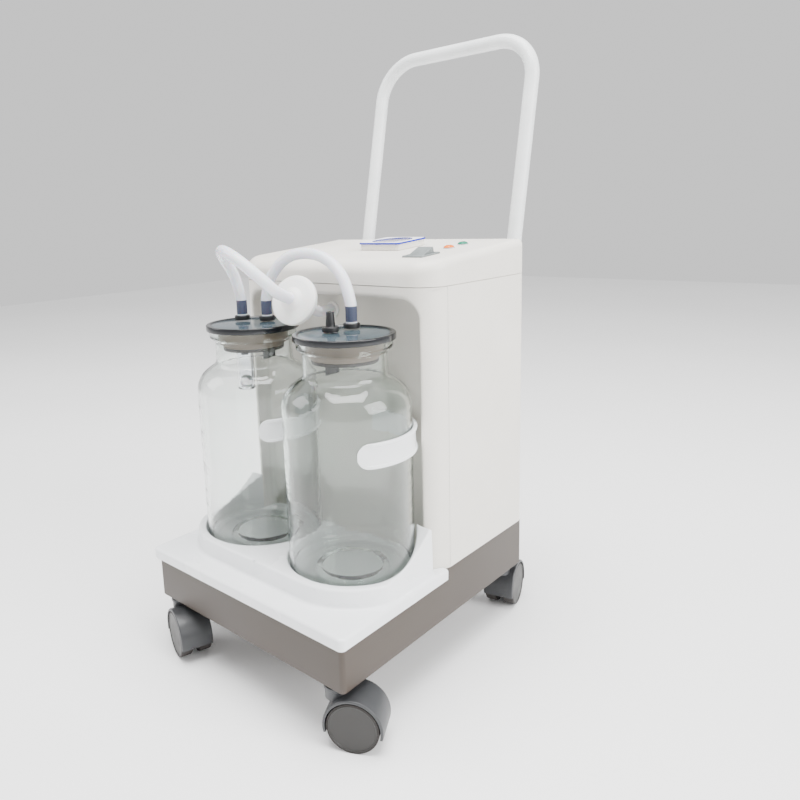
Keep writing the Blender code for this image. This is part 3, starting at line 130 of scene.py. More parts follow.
def surface(name, light, dark, rough, rough_spread=0.05, patch=60.0, grain=0.6, depth=0.0, stretch=(1, 1, 1),
            **shader):
    """A finish with two close tones in soft patches, uneven gloss and a fine relief.

    patch and grain are the sizes in mm of the tone patches and of the relief, depth its height
    in mm, and stretch squeezes the relief along an axis.
    """
    material = bpy.data.materials.new(name)
    material.use_nodes = True
    tree = material.node_tree
    body = tree.nodes["Principled BSDF"]
    where = node(tree, "ShaderNodeTexCoord")
    spread = node(tree, "ShaderNodeMapping", inputs={"Vector": where.outputs["Object"], "Scale": stretch})
    tone = node(tree, "ShaderNodeTexNoise", inputs={"Vector": where.outputs["Object"], "Scale": 1000 / patch,
                                                    "Detail": 3.0})
    colour = ramp(tree, tone.outputs["Fac"], [(0.3, srgb(dark)), (0.7, srgb(light))])
    tree.links.new(colour.outputs["Color"], body.inputs["Base Color"])
    fine = node(tree, "ShaderNodeTexNoise", inputs={"Vector": spread.outputs["Vector"],
                                                    "Scale": 1000 / grain, "Detail": 2.0})
    gloss = node(tree, "ShaderNodeMapRange", inputs={"Value": tone.outputs["Fac"], "From Min": 0.3,
                                                     "From Max": 0.7, "To Min": rough - rough_spread,
                                                     "To Max": rough + rough_spread})
    tree.links.new(gloss.outputs["Result"], body.inputs["Roughness"])
    if depth:
        relief = node(tree, "ShaderNodeBump", inputs={"Height": fine.outputs["Fac"], "Strength": 0.6,
                                                      "Distance": depth / 1000})
        tree.links.new(relief.outputs["Normal"], body.inputs["Normal"])
    for socket, value in shader.items():
        body.inputs[socket.replace("_", " ")].default_value = value
    return material


def band_between(material, low, high, code):
    """Give a material another colour between two heights in mm."""
    tree = material.node_tree
    body = tree.nodes["Principled BSDF"]
    plain = body.inputs["Base Color"].links[0].from_socket
    where = node(tree, "ShaderNodeTexCoord")
    split = node(tree, "ShaderNodeSeparateXYZ", inputs={"Vector": where.outputs["Object"]})
    share = node(tree, "ShaderNodeMapRange", inputs={"Value": split.outputs["Z"], "From Min": low / 1000,
                                                     "From Max": high / 1000})
    black, white = (0, 0, 0, 1), (1, 1, 1, 1)
    band = ramp(tree, share.outputs["Result"], [(0.0, black), (0.02, white), (0.98, white), (1.0, black)])
    mixed = node(tree, "ShaderNodeMixRGB", inputs={"Fac": band.outputs["Color"], "Color1": plain,
                                                   "Color2": srgb(code)})
    tree.links.new(mixed.outputs["Color"], body.inputs["Base Color"])


def tint_inside(material, code, density):
    """Let the material's inside absorb light, so thick edges take on a colour."""
    tree = material.node_tree
    colour = node(tree, "ShaderNodeVolumeAbsorption", inputs={"Color": srgb(code), "Density": density})
    tree.links.new(colour.outputs["Volume"], tree.nodes["Material Output"].inputs["Volume"])


# Blown glass: drawn a little unevenly round the mould, so reflections waver in level bands; thick
# feet and rims look faintly green.
GLASS = surface("blown_jar_glass", "#FFFFFF", "#FAFFFC", 0.015, 0.01, 80, 26, 0.5, (0.5, 0.5, 2.6),
                Transmission_Weight=1.0, IOR=1.45)
tint_inside(GLASS, "#A9CDB9", 9.0)
# Injection-moulded cabinet skins with a spark-eroded grain: soft sheen and a barely mottled white.
PANEL = surface("grained_cabinet_plastic", "#EBE7DF", "#E4E0D7", 0.42, 0.06, 90, 0.7, 0.03)
# Polished mould for the tray and arms: smoother and cooler white.
TRAY = surface("polished_tray_plastic", "#F4F6F8", "#EDEFF1", 0.26, 0.05, 70, 1.6, 0.006)
# Powder coat over pressed steel: tiny orange-peel waves and a warm grey.
BASE = surface("grey_powder_coat", "#3D332A", "#372E26", 0.46, 0.05, 140, 1.3, 0.04)
# White powder coat on the handle tube, baked a touch smoother than the base, so the bends catch a line
# of light.
HANDLE = surface("white_powder_coat", "#EAECEC", "#E0E3E3", 0.32, 0.05, 40, 1.5, 0.02)
# Dark acetal lids turned and polished on top: mirror-like at a low angle, with faint swirls.
LID = surface("polished_dark_lid", "#1B1D20", "#15171A", 0.08, 0.04, 30, 2.2, 0.008)
# The lid's recessed face: the same acetal, coloured a blue-grey that is a painted reflection of the room.
LID_FACE_WITH_PAINTED_REFLECTION = surface("lid_face_painted_reflection", "#46535A", "#37434A", 0.14, 0.05, 24, 3.0, 0.01)
# Moulded tan stopper rubber bloomed with age: dull, with soft patches.
STOPPER_RUBBER = surface("tan_stopper_rubber", "#8F8072", "#817265", 0.6, 0.08, 20, 0.9, 0.05)
# The harder ring under a stopper, cut from darker rubber and left matt.
DARK_RUBBER = surface("dark_rubber_ring", "#211914", "#1B1410", 0.55, 0.08, 20, 0.9, 0.05)
# Extruded silicone hose: milky with waxy highlights; over a nozzle its dark shape shows through as
# a blue-grey band.
HOSE_TONES = ("#F7F7FE", "#EFEFFA", 0.22, 0.04, 25, 6.0, 0.0)
HOSE_LIGHT = dict(Transmission_Weight=0.12, IOR=1.41, Subsurface_Weight=0.3, Subsurface_Scale=0.004)
SILICONE = surface("milky_silicone_hose", *HOSE_TONES, **HOSE_LIGHT)
NOZZLE_HOSE = surface("silicone_hose_over_nozzles", *HOSE_TONES, **HOSE_LIGHT)
band_between(NOZZLE_HOSE, LID_TOP + 6.6, LID_TOP + 22.5, "#4C5268")
# Moulded polypropylene filter shells: white that glows a little where it is thin.
FILTER = surface("white_filter_shell", "#F9F9F7", "#F1F1EE", 0.33, 0.05, 18, 0.9, 0.02,
                 Subsurface_Weight=0.2, Subsurface_Scale=0.002)
# Clear acrylic, turned and polished: the float cage shows only by its edges.
CLEAR = surface("clear_acrylic", "#FFFFFF", "#F6F8FF", 0.04, 0.02, 15, 4.0, 0.02,
                Transmission_Weight=1.0, IOR=1.45)
# A thin violet-tinted acrylic dome over the dial, pressed and clear enough to read through.
WINDOW = surface("tinted_gauge_window", "#E6E4F6", "#DDDBF2", 0.04, 0.02, 15, 4.0, 0.0,
                 Transmission_Weight=1.0, IOR=1.2, Alpha=0.35)
# Blue cast acrylic with a sawn and flamed edge, deep in colour and shiny.
BLUE = surface("blue_gauge_plate", "#0A24AE", "#061E9E", 0.2, 0.04, 12, 1.0, 0.0)
# Screen-printed white over the plate, satin.
DIAL = surface("printed_gauge_face", "#F4F4FA", "#ECECF4", 0.4, 0.04, 12, 0.3, 0.0)
# The printed card under the pointer, a duller grey-violet.
CARD = surface("printed_dial_card", "#C9C8DA", "#BEBDD0", 0.55, 0.04, 12, 0.3, 0.0)
# Ink of the marks and the painted pointer, flat and nearly black.
INK = surface("dial_ink", "#25262A", "#17181B", 0.5, 0.05, 5, 0.3, 0.0)
# Grey nylon moulded with a faint grain and worn smooth where it is pressed.
SWITCH = surface("grey_switch_nylon", "#7A8080", "#6E7474", 0.4, 0.05, 10, 0.4, 0.01)
# Black nylon mouldings, matt with a slight grain.
BLACK = surface("black_moulding", "#191A1C", "#111214", 0.45, 0.06, 15, 0.5, 0.02)
# Castor nylon: greyer hood, browner wheel faces that have picked up dust.
HOOD = surface("castor_hood_nylon", "#38393B", "#323335", 0.4, 0.06, 25, 0.7, 0.03)
WHEEL = surface("castor_wheel_nylon", "#211E1B", "#1C1A17", 0.42, 0.06, 14, 0.7, 0.03)
# The running surface of a wheel, scuffed dull by floors.
TYRE = surface("castor_tread", "#2A2421", "#221E1B", 0.62, 0.08, 10, 0.7, 0.05)
# Turned steel: tool marks run round the shaft and draw out its highlights.
STEEL = surface("turned_steel", "#C9CCCE", "#B5B8BB", 0.28, 0.06, 8, 0.4, 0.01, (0.1, 1, 1), Metallic=1.0)
# Sand-cast aluminium: rough, pitted and dim.
CASTING = surface("cast_aluminium", "#B4B8BB", "#9DA1A4", 0.5, 0.08, 20, 0.8, 0.08, Metallic=1.0)
# Satin plated ring round a lamp.
BEZEL = surface("lamp_bezel", "#B9BCBE", "#AEB1B3", 0.25, 0.05, 5, 0.5, 0.0)
# Moulded lamp lenses: saturated, glossy and faintly lit from behind.
ORANGE = surface("orange_lens", "#E87404", "#DB6602", 0.12, 0.04, 4, 1.2, 0.0,
                 Emission_Color=srgb("#F07A10"), Emission_Strength=0.1)
GREEN = surface("green_lens", "#067A60", "#056A52", 0.12, 0.04, 4, 1.2, 0.0,
                Emission_Color=srgb("#0A8A6A"), Emission_Strength=0.05)
# Painted studio floor, pale and matt.
FLOOR = surface("studio_floor", "#FFFFFF", "#FBFBFB", 0.6, 0.05, 900, 3.0, 0.0)


# ---- surfaces -------------------------------------------------------------------------------
def skin(points, close_rows=False, close_columns=False):
    """Quads over a grid of points with shape (rows, columns, 3)."""
    points = np.asarray(points, float)
    rows, columns = points.shape[:2]
    r = np.arange(rows if close_rows else rows - 1)[:, None]
    c = np.arange(columns if close_columns else columns - 1)[None, :]
    up, side = (r + 1) % rows, (c + 1) % columns
    quads = np.stack([r * columns + c, r * columns + side, up * columns + side, up * columns + c], -1)
    return points.reshape(-1, 3), [tuple(q) for q in quads.reshape(-1, 4)]


def lid_over(ring):
    """One flat face over a closed ring of points."""
    ring = np.asarray(ring, float)
    return ring, [tuple(range(len(ring)))]


def build(name, parts, material, body, replaces=(), sharp=38.0):
    """Join surfaces into one welded, outward-facing object in world metres that rides on a body."""
    verts, faces, start = [], [], 0
    for points, quads in parts:
        verts.append(points)
        faces += [tuple(i + start for i in q) for q in quads]
        start += len(points)
    world = np.concatenate(verts) / 1000 + np.array([0, SHIFT, 0])
    mesh = bpy.data.meshes.new(name)
    mesh.from_pydata(world.tolist(), [], faces)
    shape = bmesh.new()
    shape.from_mesh(mesh)
    bmesh.ops.remove_doubles(shape, verts=shape.verts, dist=2e-6)
    bmesh.ops.recalc_face_normals(shape, faces=shape.faces)
    shape.to_mesh(mesh)
    shape.free()
    mesh.materials.append(material)
    mesh.shade_smooth()
    mesh.set_sharp_from_angle(angle=math.radians(sharp))
    piece = bpy.data.objects.new(name, mesh)
    bpy.context.scene.collection.objects.link(piece)
    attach(piece, body)
    if replaces:
        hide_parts(*([replaces] if isinstance(replaces, str) else replaces))
    return piece


def soft(points, steps=5):
    """A line of (a, b) or (a, b, radius) points with circular arcs of those radii at its corners."""
    spots = [np.array(p[:2], float) for p in points]
    out = [spots[0]]
    for i in range(1, len(points) - 1):
        radius = points[i][2] if len(points[i]) > 2 else 0
        if not radius:
            out.append(spots[i])
            continue
        before, after = spots[i - 1] - spots[i], spots[i + 1] - spots[i]
        long_before, long_after = np.hypot(*before), np.hypot(*after)
        before, after = before / long_before, after / long_after
        half = math.acos(np.clip(before @ after, -1, 1)) / 2
        reach = min(radius / math.tan(half), 0.499 * long_before, 0.499 * long_after)
        t = np.linspace(0, 1, steps + 1)[:, None]
        weight = math.sin(half)
        a, c = spots[i] + before * reach, spots[i] + after * reach
        share = (1 - t) ** 2 + 2 * t * (1 - t) * weight + t ** 2
        out += list(((1 - t) ** 2 * a + 2 * t * (1 - t) * weight * spots[i] + t ** 2 * c) / share)
    out.append(spots[-1])
    return np.array(out)


def axes(direction):
    """Two unit vectors square to a direction and to each other."""
    direction = np.asarray(direction, float) / np.linalg.norm(direction)
    other = np.array([0, 0, 1.0]) if abs(direction[2]) < 0.9 else np.array([1.0, 0, 0])
    first = np.cross(other, direction)
    first /= np.linalg.norm(first)
    return first, np.cross(direction, first), direction


def lathe(profile, place, axis=(0, 0, 1), sides=64, closed=False):
    """Radius and height pairs turned about an axis through a place.

    Each pair becomes a ring: place + radius * (u cos a + v sin a) + height * axis, for u and v square to
    the axis. closed joins the last pair to the first.
    """
    profile = np.asarray(profile, float)
    u, v, w = axes(axis)
    a = np.linspace(0, 2 * np.pi, sides, endpoint=False)
    ring = np.cos(a)[:, None] * u + np.sin(a)[:, None] * v
    points = (np.asarray(place, float) + profile[:, 0][:, None, None] * ring[None]
              + profile[:, 1][:, None, None] * w)
    return skin(points, close_rows=closed, close_columns=True)


def smooth_line(points, step):
    """Catmull-Rom curve through the points, read at equal steps."""
    knots = np.asarray(points, float)
    knots = np.vstack([2 * knots[0] - knots[1], knots, 2 * knots[-1] - knots[-2]])
    t = np.linspace(0, 1, 16, endpoint=False)[:, None]
    fine = []
    for a, b, c, d in zip(knots, knots[1:], knots[2:], knots[3:]):
        fine.append(0.5 * (2 * b + (c - a) * t + (2 * a - 5 * b + 4 * c - d) * t ** 2
                           + (3 * b - a - 3 * c + d) * t ** 3))
    fine = np.vstack(fine + [knots[-2:-1]])
    run = np.concatenate([[0], np.cumsum(np.linalg.norm(np.diff(fine, axis=0), axis=1))])
    read = np.linspace(0, run[-1], max(3, int(run[-1] / step)) + 1)
    return np.stack([np.interp(read, run, fine[:, k]) for k in range(3)], 1)


def rings_along(path, radii, sides):
    """Rings of points square to a path, kept from twisting; radii is one number or one for each point."""
    path = np.asarray(path, float)
    ahead = np.gradient(path, axis=0)
    ahead /= np.linalg.norm(ahead, axis=1)[:, None]
    side = axes(ahead[0])[0]
    sideways = []
    for t in ahead:
        side = side - t * (side @ t)
        side /= np.linalg.norm(side)
        sideways.append(side)
    sideways = np.array(sideways)
    upward = np.cross(ahead, sideways)
    a = np.linspace(0, 2 * np.pi, sides, endpoint=False)
    radii = np.broadcast_to(radii, len(path))[:, None, None]
    return path[:, None] + radii * (np.cos(a)[None, :, None] * sideways[:, None]
                                    + np.sin(a)[None, :, None] * upward[:, None])


def pipe(path, outer, inner, sides=28):
    """A hollow pipe along a path with square-cut ends."""
    both = np.concatenate([rings_along(path, outer, sides), rings_along(path, inner, sides)[::-1]])
    return skin(both, close_rows=True, close_columns=True)


def rod(path, radius, sides=28):
    """A solid round bar along a path with flat ends."""
    rings = rings_along(path, radius, sides)
    return [skin(rings, close_columns=True), lid_over(rings[0][::-1]), lid_over(rings[-1])]


def sweep(line, profile, closed=True):
    """A profile of (outward, height) carried along a plan line; outward is to the line's right."""
    line = np.asarray(line, float)
    profile = np.asarray(profile, float)
    if closed:
        ahead = np.roll(line, -1, 0) - np.roll(line, 1, 0)
    else:
        ahead = np.gradient(line, axis=0)
    ahead /= np.linalg.norm(ahead, axis=1)[:, None]
    outward = np.stack([ahead[:, 1], -ahead[:, 0]], 1)
    plan = line[:, None] + outward[:, None] * profile[None, :, :1]
    height = np.broadcast_to(profile[None, :, 1:], (len(line), len(profile), 1))
    return np.concatenate([plan, height], 2)


def rounded_plan(x0, x1, y0, y1, front, back, steps=10):
    """Plan outline of a rectangle with rounded corners, anticlockwise from its front left."""
    points = []
    for cx, cy, radius, start in ((x0 + front, y0 + front, front, 180), (x1 - front, y0 + front, front, 270),
                                  (x1 - back, y1 - back, back, 0), (x0 + back, y1 - back, back, 90)):
        a = np.radians(start + np.linspace(0, 90, steps + 1))
        points.append(np.stack([cx + radius * np.cos(a), cy + radius * np.sin(a)], 1))
    return np.vstack(points)


def block_with(plan, profile):
    """A closed solid whose side follows a profile of (outward, height) from its bottom to its top face."""
    points = sweep(plan, profile)
    return [skin(points, close_rows=True), lid_over(points[:, 0][::-1]), lid_over(points[:, -1])]


def flip(parts):
    """The same surfaces mirrored to the other side of the machine."""
    return [(points * np.array([-1, 1, 1]), faces) for points, faces in parts]


def on_console(parts, x, y):
    """Surfaces drawn on a flat console, moved to a place up the slope and tilted with it."""
    c, s = math.cos(TILT), math.sin(TILT)
    turn = np.array([[1, 0, 0], [0, c, -s], [0, s, c]])
    front = COVER_BACK - SLOPE * (BACK - CABINET_FRONT)
    return [((points + np.array([x, y, 0])) @ turn.T + np.array([0, CABINET_FRONT, front]), faces)
            for points, faces in parts]


# ---- hoses ----------------------------------------------------------------------------------
def make_hoses():
    """Silicone hoses pushed down over their barbs to the flanges.

    Each is two tubes of rings, radius 6 outside and 4 inside, square to a Catmull-Rom curve through its
    route points, whose bends are evened out by averaging each point with its neighbours.
    """
    link = [(-58.1, -42.4, 413.5), (-53.1, -41.7, 420.5), (-47.1, -41.2, 427.0), (-40.1, -40.6, 433.0),
            (-32.3, -40.1, 437.8), (-23.7, -39.3, 441.1), (-14.8, -38.5, 442.9), (-5.6, -37.6, 443.5),
            (3.5, -36.6, 443.1), (12.5, -35.6, 441.4), (21.2, -34.8, 438.3), (29.1, -34.1, 433.6),
            (37.4, -35.1, 427.9), (44.3, -35.8, 420.8), (50.0, -36.6, 412.7)]
    loop = [(-94.3, -60.3, 416.0), (-93.0, -65.5, 424.0), (-91.3, -71.3, 431.2), (-88.2, -77.7, 437.3),
            (-82.3, -85.2, 442.2), (-75.3, -92.4, 446.0), (-67.3, -99.0, 448.6), (-58.5, -105.0, 450.0),
            (-49.0, -109.9, 449.9), (-39.1, -113.5, 448.5), (-29.0, -115.6, 445.6), (-19.3, -115.9, 441.3),
            (-10.4, -114.3, 435.6), (-3.0, -110.7, 428.9), (2.3, -105.2, 421.6), (5.2, -98.0, 414.4)]
    ends = {name: [(x, y, LID_TOP + 5.4), (x, y, LID_TOP + 14), (x, y, LID_TOP + 24)]
            for name, (x, y) in PORTS.items()}
    shell = 10.5                   # how far a filter shell reaches from the disc's middle
    jar_side = [FILTER_AT - FILTER_AXIS * d for d in (34.8, 20, shell)]
    pump_side = [FILTER_AT + FILTER_AXIS * d for d in (shell, 20, 30)]
    inlet = [INLET_AT + np.array([0, -d, 0]) for d in (24, 14, 2.9)]
    routes = {
        "link_hose": ends["left_lid_link_port"] + link + ends["right_lid_link_port"][::-1],
        "filter_hose": ends["left_lid_pump_port"] + loop + jar_side,
        "pump_hose": pump_side + inlet,
    }
    lengths = {"link_hose": 0.209, "filter_hose": 0.231}
    for name, route in routes.items():
        path = smooth_line(route, 2.0)
        for _ in range(SOFTENING):
            path[3:-3] = (path[2:-4] + 2 * path[3:-3] + path[4:-2]) / 4
        material = NOZZLE_HOSE if name in lengths else SILICONE
        tube = [pipe(path, HOSE_OUTSIDE, HOSE_BORE, 36)]
        hose = build("shown_" + name, tube, material, "machine", name)


# ---- jars -----------------------------------------------------------------------------------
def make_jars():
    """Blown jars: round foot with a raised punt, straight body, shoulder, short neck, mouth bead.

    The outline's lines meet in arcs, and it is turned about the jar's axis, outside up and inside down,
    so the wall is 3 thick. Lid, stopper and ring are outlines turned about the same axis.
    """
    outer = soft([(0, 2.6), (31, 2.6, 3), (37, 0.0, 3), (65, 0, 9.5), (65, 192, 44), (42.3, 208, 8),
                  (42.3, 232.5, 3), (47.8, 236.5, 2.4), (47.8, 245.7, 2.0), (39.3, 245.7, 1.5)], 10)
    inner = soft([(39.3, 245.7, 1.5), (39.3, 206.4, 11), (62, 190.4, 41), (62, 7.4, 8), (40, 7.4, 3),
                  (33, 10.4, 4), (0, 10.8)], 10)[1:]
    lid = soft([(0, 3.0), (45.5, 3.2, 1.0), (47.2, 4.5, 0.8), (51, 4.5, 1.1), (51, -1.9, 0.7),
                (48.5, -1.9, 0.4), (48.4, 0), (0, 0)], 4)
    face = soft([(0, 3.3), (44.6, 3.5, 0.2), (44.9, 3.0), (0, 2.6)], 3)
    stopper = soft([(0, 24), (38.4, 24), (38.4, 14, 2), (33.4, 5.2, 1), (33.2, 4.3), (0, 4.3)], 4)
    ring = soft([(0, 4.2), (33.6, 4.2, 0.8), (33.0, 0.6, 0.8), (0, 0.6)], 4)
    for side, name in ((-1, "left"), (1, "right")):
        x = side * JAR_X
        glass = [lathe(np.vstack([outer, inner]), (x, JAR_Y, JAR_FOOT), sides=128)]
        build("glass_jar_" + name, glass, GLASS, "machine", "jar_" + name)
        build("lid_" + name, [lathe(lid, (x, JAR_Y, JAR_FOOT + JAR_HIGH + 0.3), sides=128)], LID,
              "machine", "jar_lid_" + name)
        # The face's blue-grey colour is a painted reflection of the room.
        build("lid_face_" + name, [lathe(face, (x, JAR_Y, JAR_FOOT + JAR_HIGH + 0.3), sides=96)], LID_FACE_WITH_PAINTED_REFLECTION,
              "machine")
        low = JAR_FOOT + JAR_HIGH - STOPPER
        build("stopper_" + name, [lathe(stopper, (x, JAR_Y, low), sides=96)], STOPPER_RUBBER,
              "machine", "jar_stopper_" + name)
        build("stopper_ring_" + name, [lathe(ring, (x, JAR_Y, low), sides=96)], DARK_RUBBER, "machine")


def make_ports():
    """Barbed ports, their slanted spouts under the stoppers, and the float valve.

    A wide spout's lower edge rises with x at 20 degrees; the ball's radius follows a cosine and its height
    a sine.
    """
    barb = soft([(2.2, 19.8), (3.7, 19.8, 0.5), (4.6, 8.5), (4.8, 5.1, 0.8), (8.6, 5.1, 0.7),
                 (8.6, 0.3, 0.4), (2.2, 0.3)], 4)
    for name, (x, y) in PORTS.items():
        parts = [lathe(barb, (x, y, LID_TOP), sides=48, closed=True)]
        wide = name in ("left_lid_link_port", "right_lid_patient_port")
        radius = 7.1 if wide else 4.4
        low = JAR_FOOT + JAR_HIGH - STOPPER - (13.3 if wide else 10.4)
        a = np.linspace(0, 2 * np.pi, 40, endpoint=False)
        slant = math.tan(math.radians(20)) if wide else 0
        rows = []
        bore = 4.0 if wide else 2.5
        for r, z in ((bore, 0.0), (radius, 0.0), (radius, 15.0), (bore, 15.0)):
            drop = slant * np.cos(a) * r if z == 0 else 0 * a
            rows.append(np.stack([x + r * np.cos(a), y + r * np.sin(a), low + z + drop], 1))
        parts.append(skin(rows, close_rows=True, close_columns=True))
        build("shown_" + name, parts, BLACK, "machine", name)
    x, y = PORTS["left_lid_pump_port"]
    top = JAR_FOOT + JAR_HIGH - STOPPER - 0.3
    cage = soft([(4.7, top), (9.99, top, 0.8), (9.99, top - 50, 0.8), (5.8, top - 50), (5.8, top - 48, 0.4),
                 (8.8, top - 48, 0.4), (8.8, top - 6, 0.8), (4.7, top - 4)], 3)
    build("shown_float_cage", [lathe(cage, (x, y, 0), sides=56, closed=True)], CLEAR, "machine",
          "float_cage")
    t = np.linspace(-np.pi / 2, np.pi / 2, 25)
    ball = np.stack([7.2 * np.cos(t), 7.2 * np.sin(t)], 1)
    build("shown_float_ball", [lathe(ball, (x, y, top - 50 + 7.4), sides=40)], FILTER, "ball", "float_ball")


def make_filter():
    """Disc filter: two smooth shells welded at the rim, a barb on each, and the pump's inlet barb.

    Each is an outline with softened corners, turned about the tilted axis of the disc.
    """
    shell = soft([(2.2, 0.3), (26.2, 0.3), (26.2, 2.8, 1.6), (21.5, 4.4, 4), (13, 6.0, 4),
                  (8.2, 8.4, 1.5), (5.6, 9.0, 0.5), (4.8, 9.0, 0.3), (3.7, 22.0, 0.4), (2.2, 22.0)], 4)
    for name, way in (("pump", 1), ("jar", -1)):
        half = [lathe(shell, FILTER_AT, FILTER_AXIS * way, 96, closed=True)]
        build("shown_filter_%s_half" % name, half, FILTER, "machine", "filter_%s_half" % name)
    barb = soft([(2.2, 0.3), (9, 0.3, 0.3), (9, 2.6, 0.6), (4.8, 2.6, 0.5), (3.7, 16, 0.5), (2.2, 16),
                 (2.2, 12)], 4)
    build("shown_inlet_barb", [lathe(barb, INLET_AT, (0, -1, 0), 48, closed=True)], FILTER, "machine",
          "pump_inlet_barb")


def make_arms():
    """Ribbed arms that hold the jars: a web with a rib along each edge, running out to a round tip.

    The section is carried round the jar's axis. Near the tip its height follows a quarter circle, and the
    ribs grow out of the web by 3 t^2 - 2 t^3.
    """
    section = soft([(66.0, -12.0), (69.4, -12, 0.5), (69.4, -9.2, 0.5), (67.9, -8.6, 0.5), (67.9, 8.6, 0.5),
                    (69.4, 9.2, 0.5), (69.4, 12, 0.5), (66.0, 12)], 3)
    angles = np.radians(-40.7 + (108 + 40.7) * np.linspace(0, 1, 90) ** 1.25)
    from_tip = 67.9 * (angles - angles[0])
    tall = np.sqrt(np.clip(1 - (1 - np.clip((from_tip + 0.4) / 12, 0, 1)) ** 2, 0, 1))
    grown = np.clip((from_tip - 7) / 9, 0, 1)
    grown = grown * grown * (3 - 2 * grown)
    reach = section[None, :, 0] - np.clip(section[None, :, 0] - 67.9, 0, None) * (1 - grown[:, None])
    height = section[None, :, 1] * tall[:, None] + ARM_HEIGHT
    for side, name in ((-1, "left"), (1, "right")):
        points = np.stack([side * JAR_X + reach * np.cos(angles)[:, None],
                           JAR_Y + reach * np.sin(angles)[:, None], height], 2)
        parts = [skin(points, close_columns=True), lid_over(points[0]), lid_over(points[-1][::-1])]
        build("shown_arm_" + name, parts, TRAY, "machine", "jar_arm_" + name)


# ---- base and tray --------------------------------------------------------------------------
def make_base():
    """Pressed tub: a side profile carried round a plan with quarter-circle corners, square to its edge."""
    plan = rounded_plan(-BASE_HALF, BASE_HALF, FRONT, BACK, 5, 5, 8)
    side = soft([(-4, BASE_LOW + 3), (-3, BASE_LOW + 3), (-3, BASE_TOP), (0, BASE_TOP), (0, BASE_LOW, 2.6),
                 (-4.2, BASE_LOW)], 6)[::-1]
    build("shown_base", block_with(plan, side), BASE, "machine", "base_tub")


def ledge_half():
    """Right half of the ledge round the jars.

    Each ray from the jar's axis runs from its pocket, r 67, over a rounded rim and the flat top to the
    outer edge, then down a sloped wall to a fillet on the tray. The outer edge is a circle kept inside
    the tray's side, then a straight front, and the top sweeps up towards the cabinet beside the jar.
    """
    rear, side = CABINET_FRONT - 0.3 - JAR_Y, BASE_HALF - 2.9 - JAR_X
    meet = math.asin(rear / POCKET)
    corner = math.atan2(-LEDGE, -JAR_X)
    outer = np.concatenate([np.linspace(meet, -math.pi / 2, 90), np.linspace(-math.pi / 2, corner, 26)[1:]])
    inner = np.linspace(corner, -math.pi - math.atan2(rear, JAR_X), 60)
    parts = []
    for angles in (outer, inner):
        c, s = np.cos(angles), np.sin(angles)
        if angles is outer:
            far = np.minimum(np.minimum(np.where(s < 0, LEDGE, 999), side / np.maximum(c, 1e-3)),
                             rear / np.maximum(s, 1e-3))
            far = np.where(angles < -math.pi / 2, LEDGE / np.maximum(-s, 1e-3), far)
        else:
            far = -JAR_X / np.minimum(c, -1e-3)
        way = np.stack([c, s], 1)
        span = np.maximum(far - POCKET, 0)[:, None]
        swept = (angles is outer) * (c > 0)[:, None]

        def top(away):
            y = JAR_Y + (POCKET + away) * way[:, 1:]
            return LEDGE_TOP + np.clip((y + 96) / (CABINET_FRONT + 96), 0, 1) ** 2.2 * 31.0 * swept

        rim, edge = np.minimum(1.8, span / 2), np.minimum(3.0, span / 2)
        floor = np.full_like(span, TRAY_TOP)
        rows = [(0 * span, floor)]
        for a in np.radians([0, 30, 60, 90]):
            away = rim * (1 - math.cos(a))
            rows.append((away, top(away) - 1.8 * (1 - math.sin(a))))
        for share in (0.25, 0.5, 0.75):
            away = rim + (span - rim - edge) * share
            rows.append((away, top(away)))
        if angles is outer:
            for a in np.radians([90, 68, 45, 22, 0]):
                away = span - edge + edge * math.cos(a)
                rows.append((away, top(away) - 3.0 * (1 - math.sin(a))))
            for a in np.radians([90, 60, 30, 0]):
                rows.append((span + 0.8 + 3.0 * (1 - math.sin(a)), floor + 3.0 * (1 - math.cos(a))))
        else:
            rows.append((span, top(span)))
        points = []
        for out, z in rows:
            plan = np.array([JAR_X, JAR_Y]) + (POCKET + out) * way
            plan[:, 0] = np.minimum(plan[:, 0], BASE_HALF - 0.3)
            points.append(np.concatenate([plan, z], 1))
        points = np.stack(points, 1)
        parts.append(skin(points))
        if angles is inner:
            back = points[-1, 1:]
            parts.append(skin(np.stack([back, back * np.array([1, 1, 0]) + np.array([0, 0, TRAY_TOP])])))
    return parts


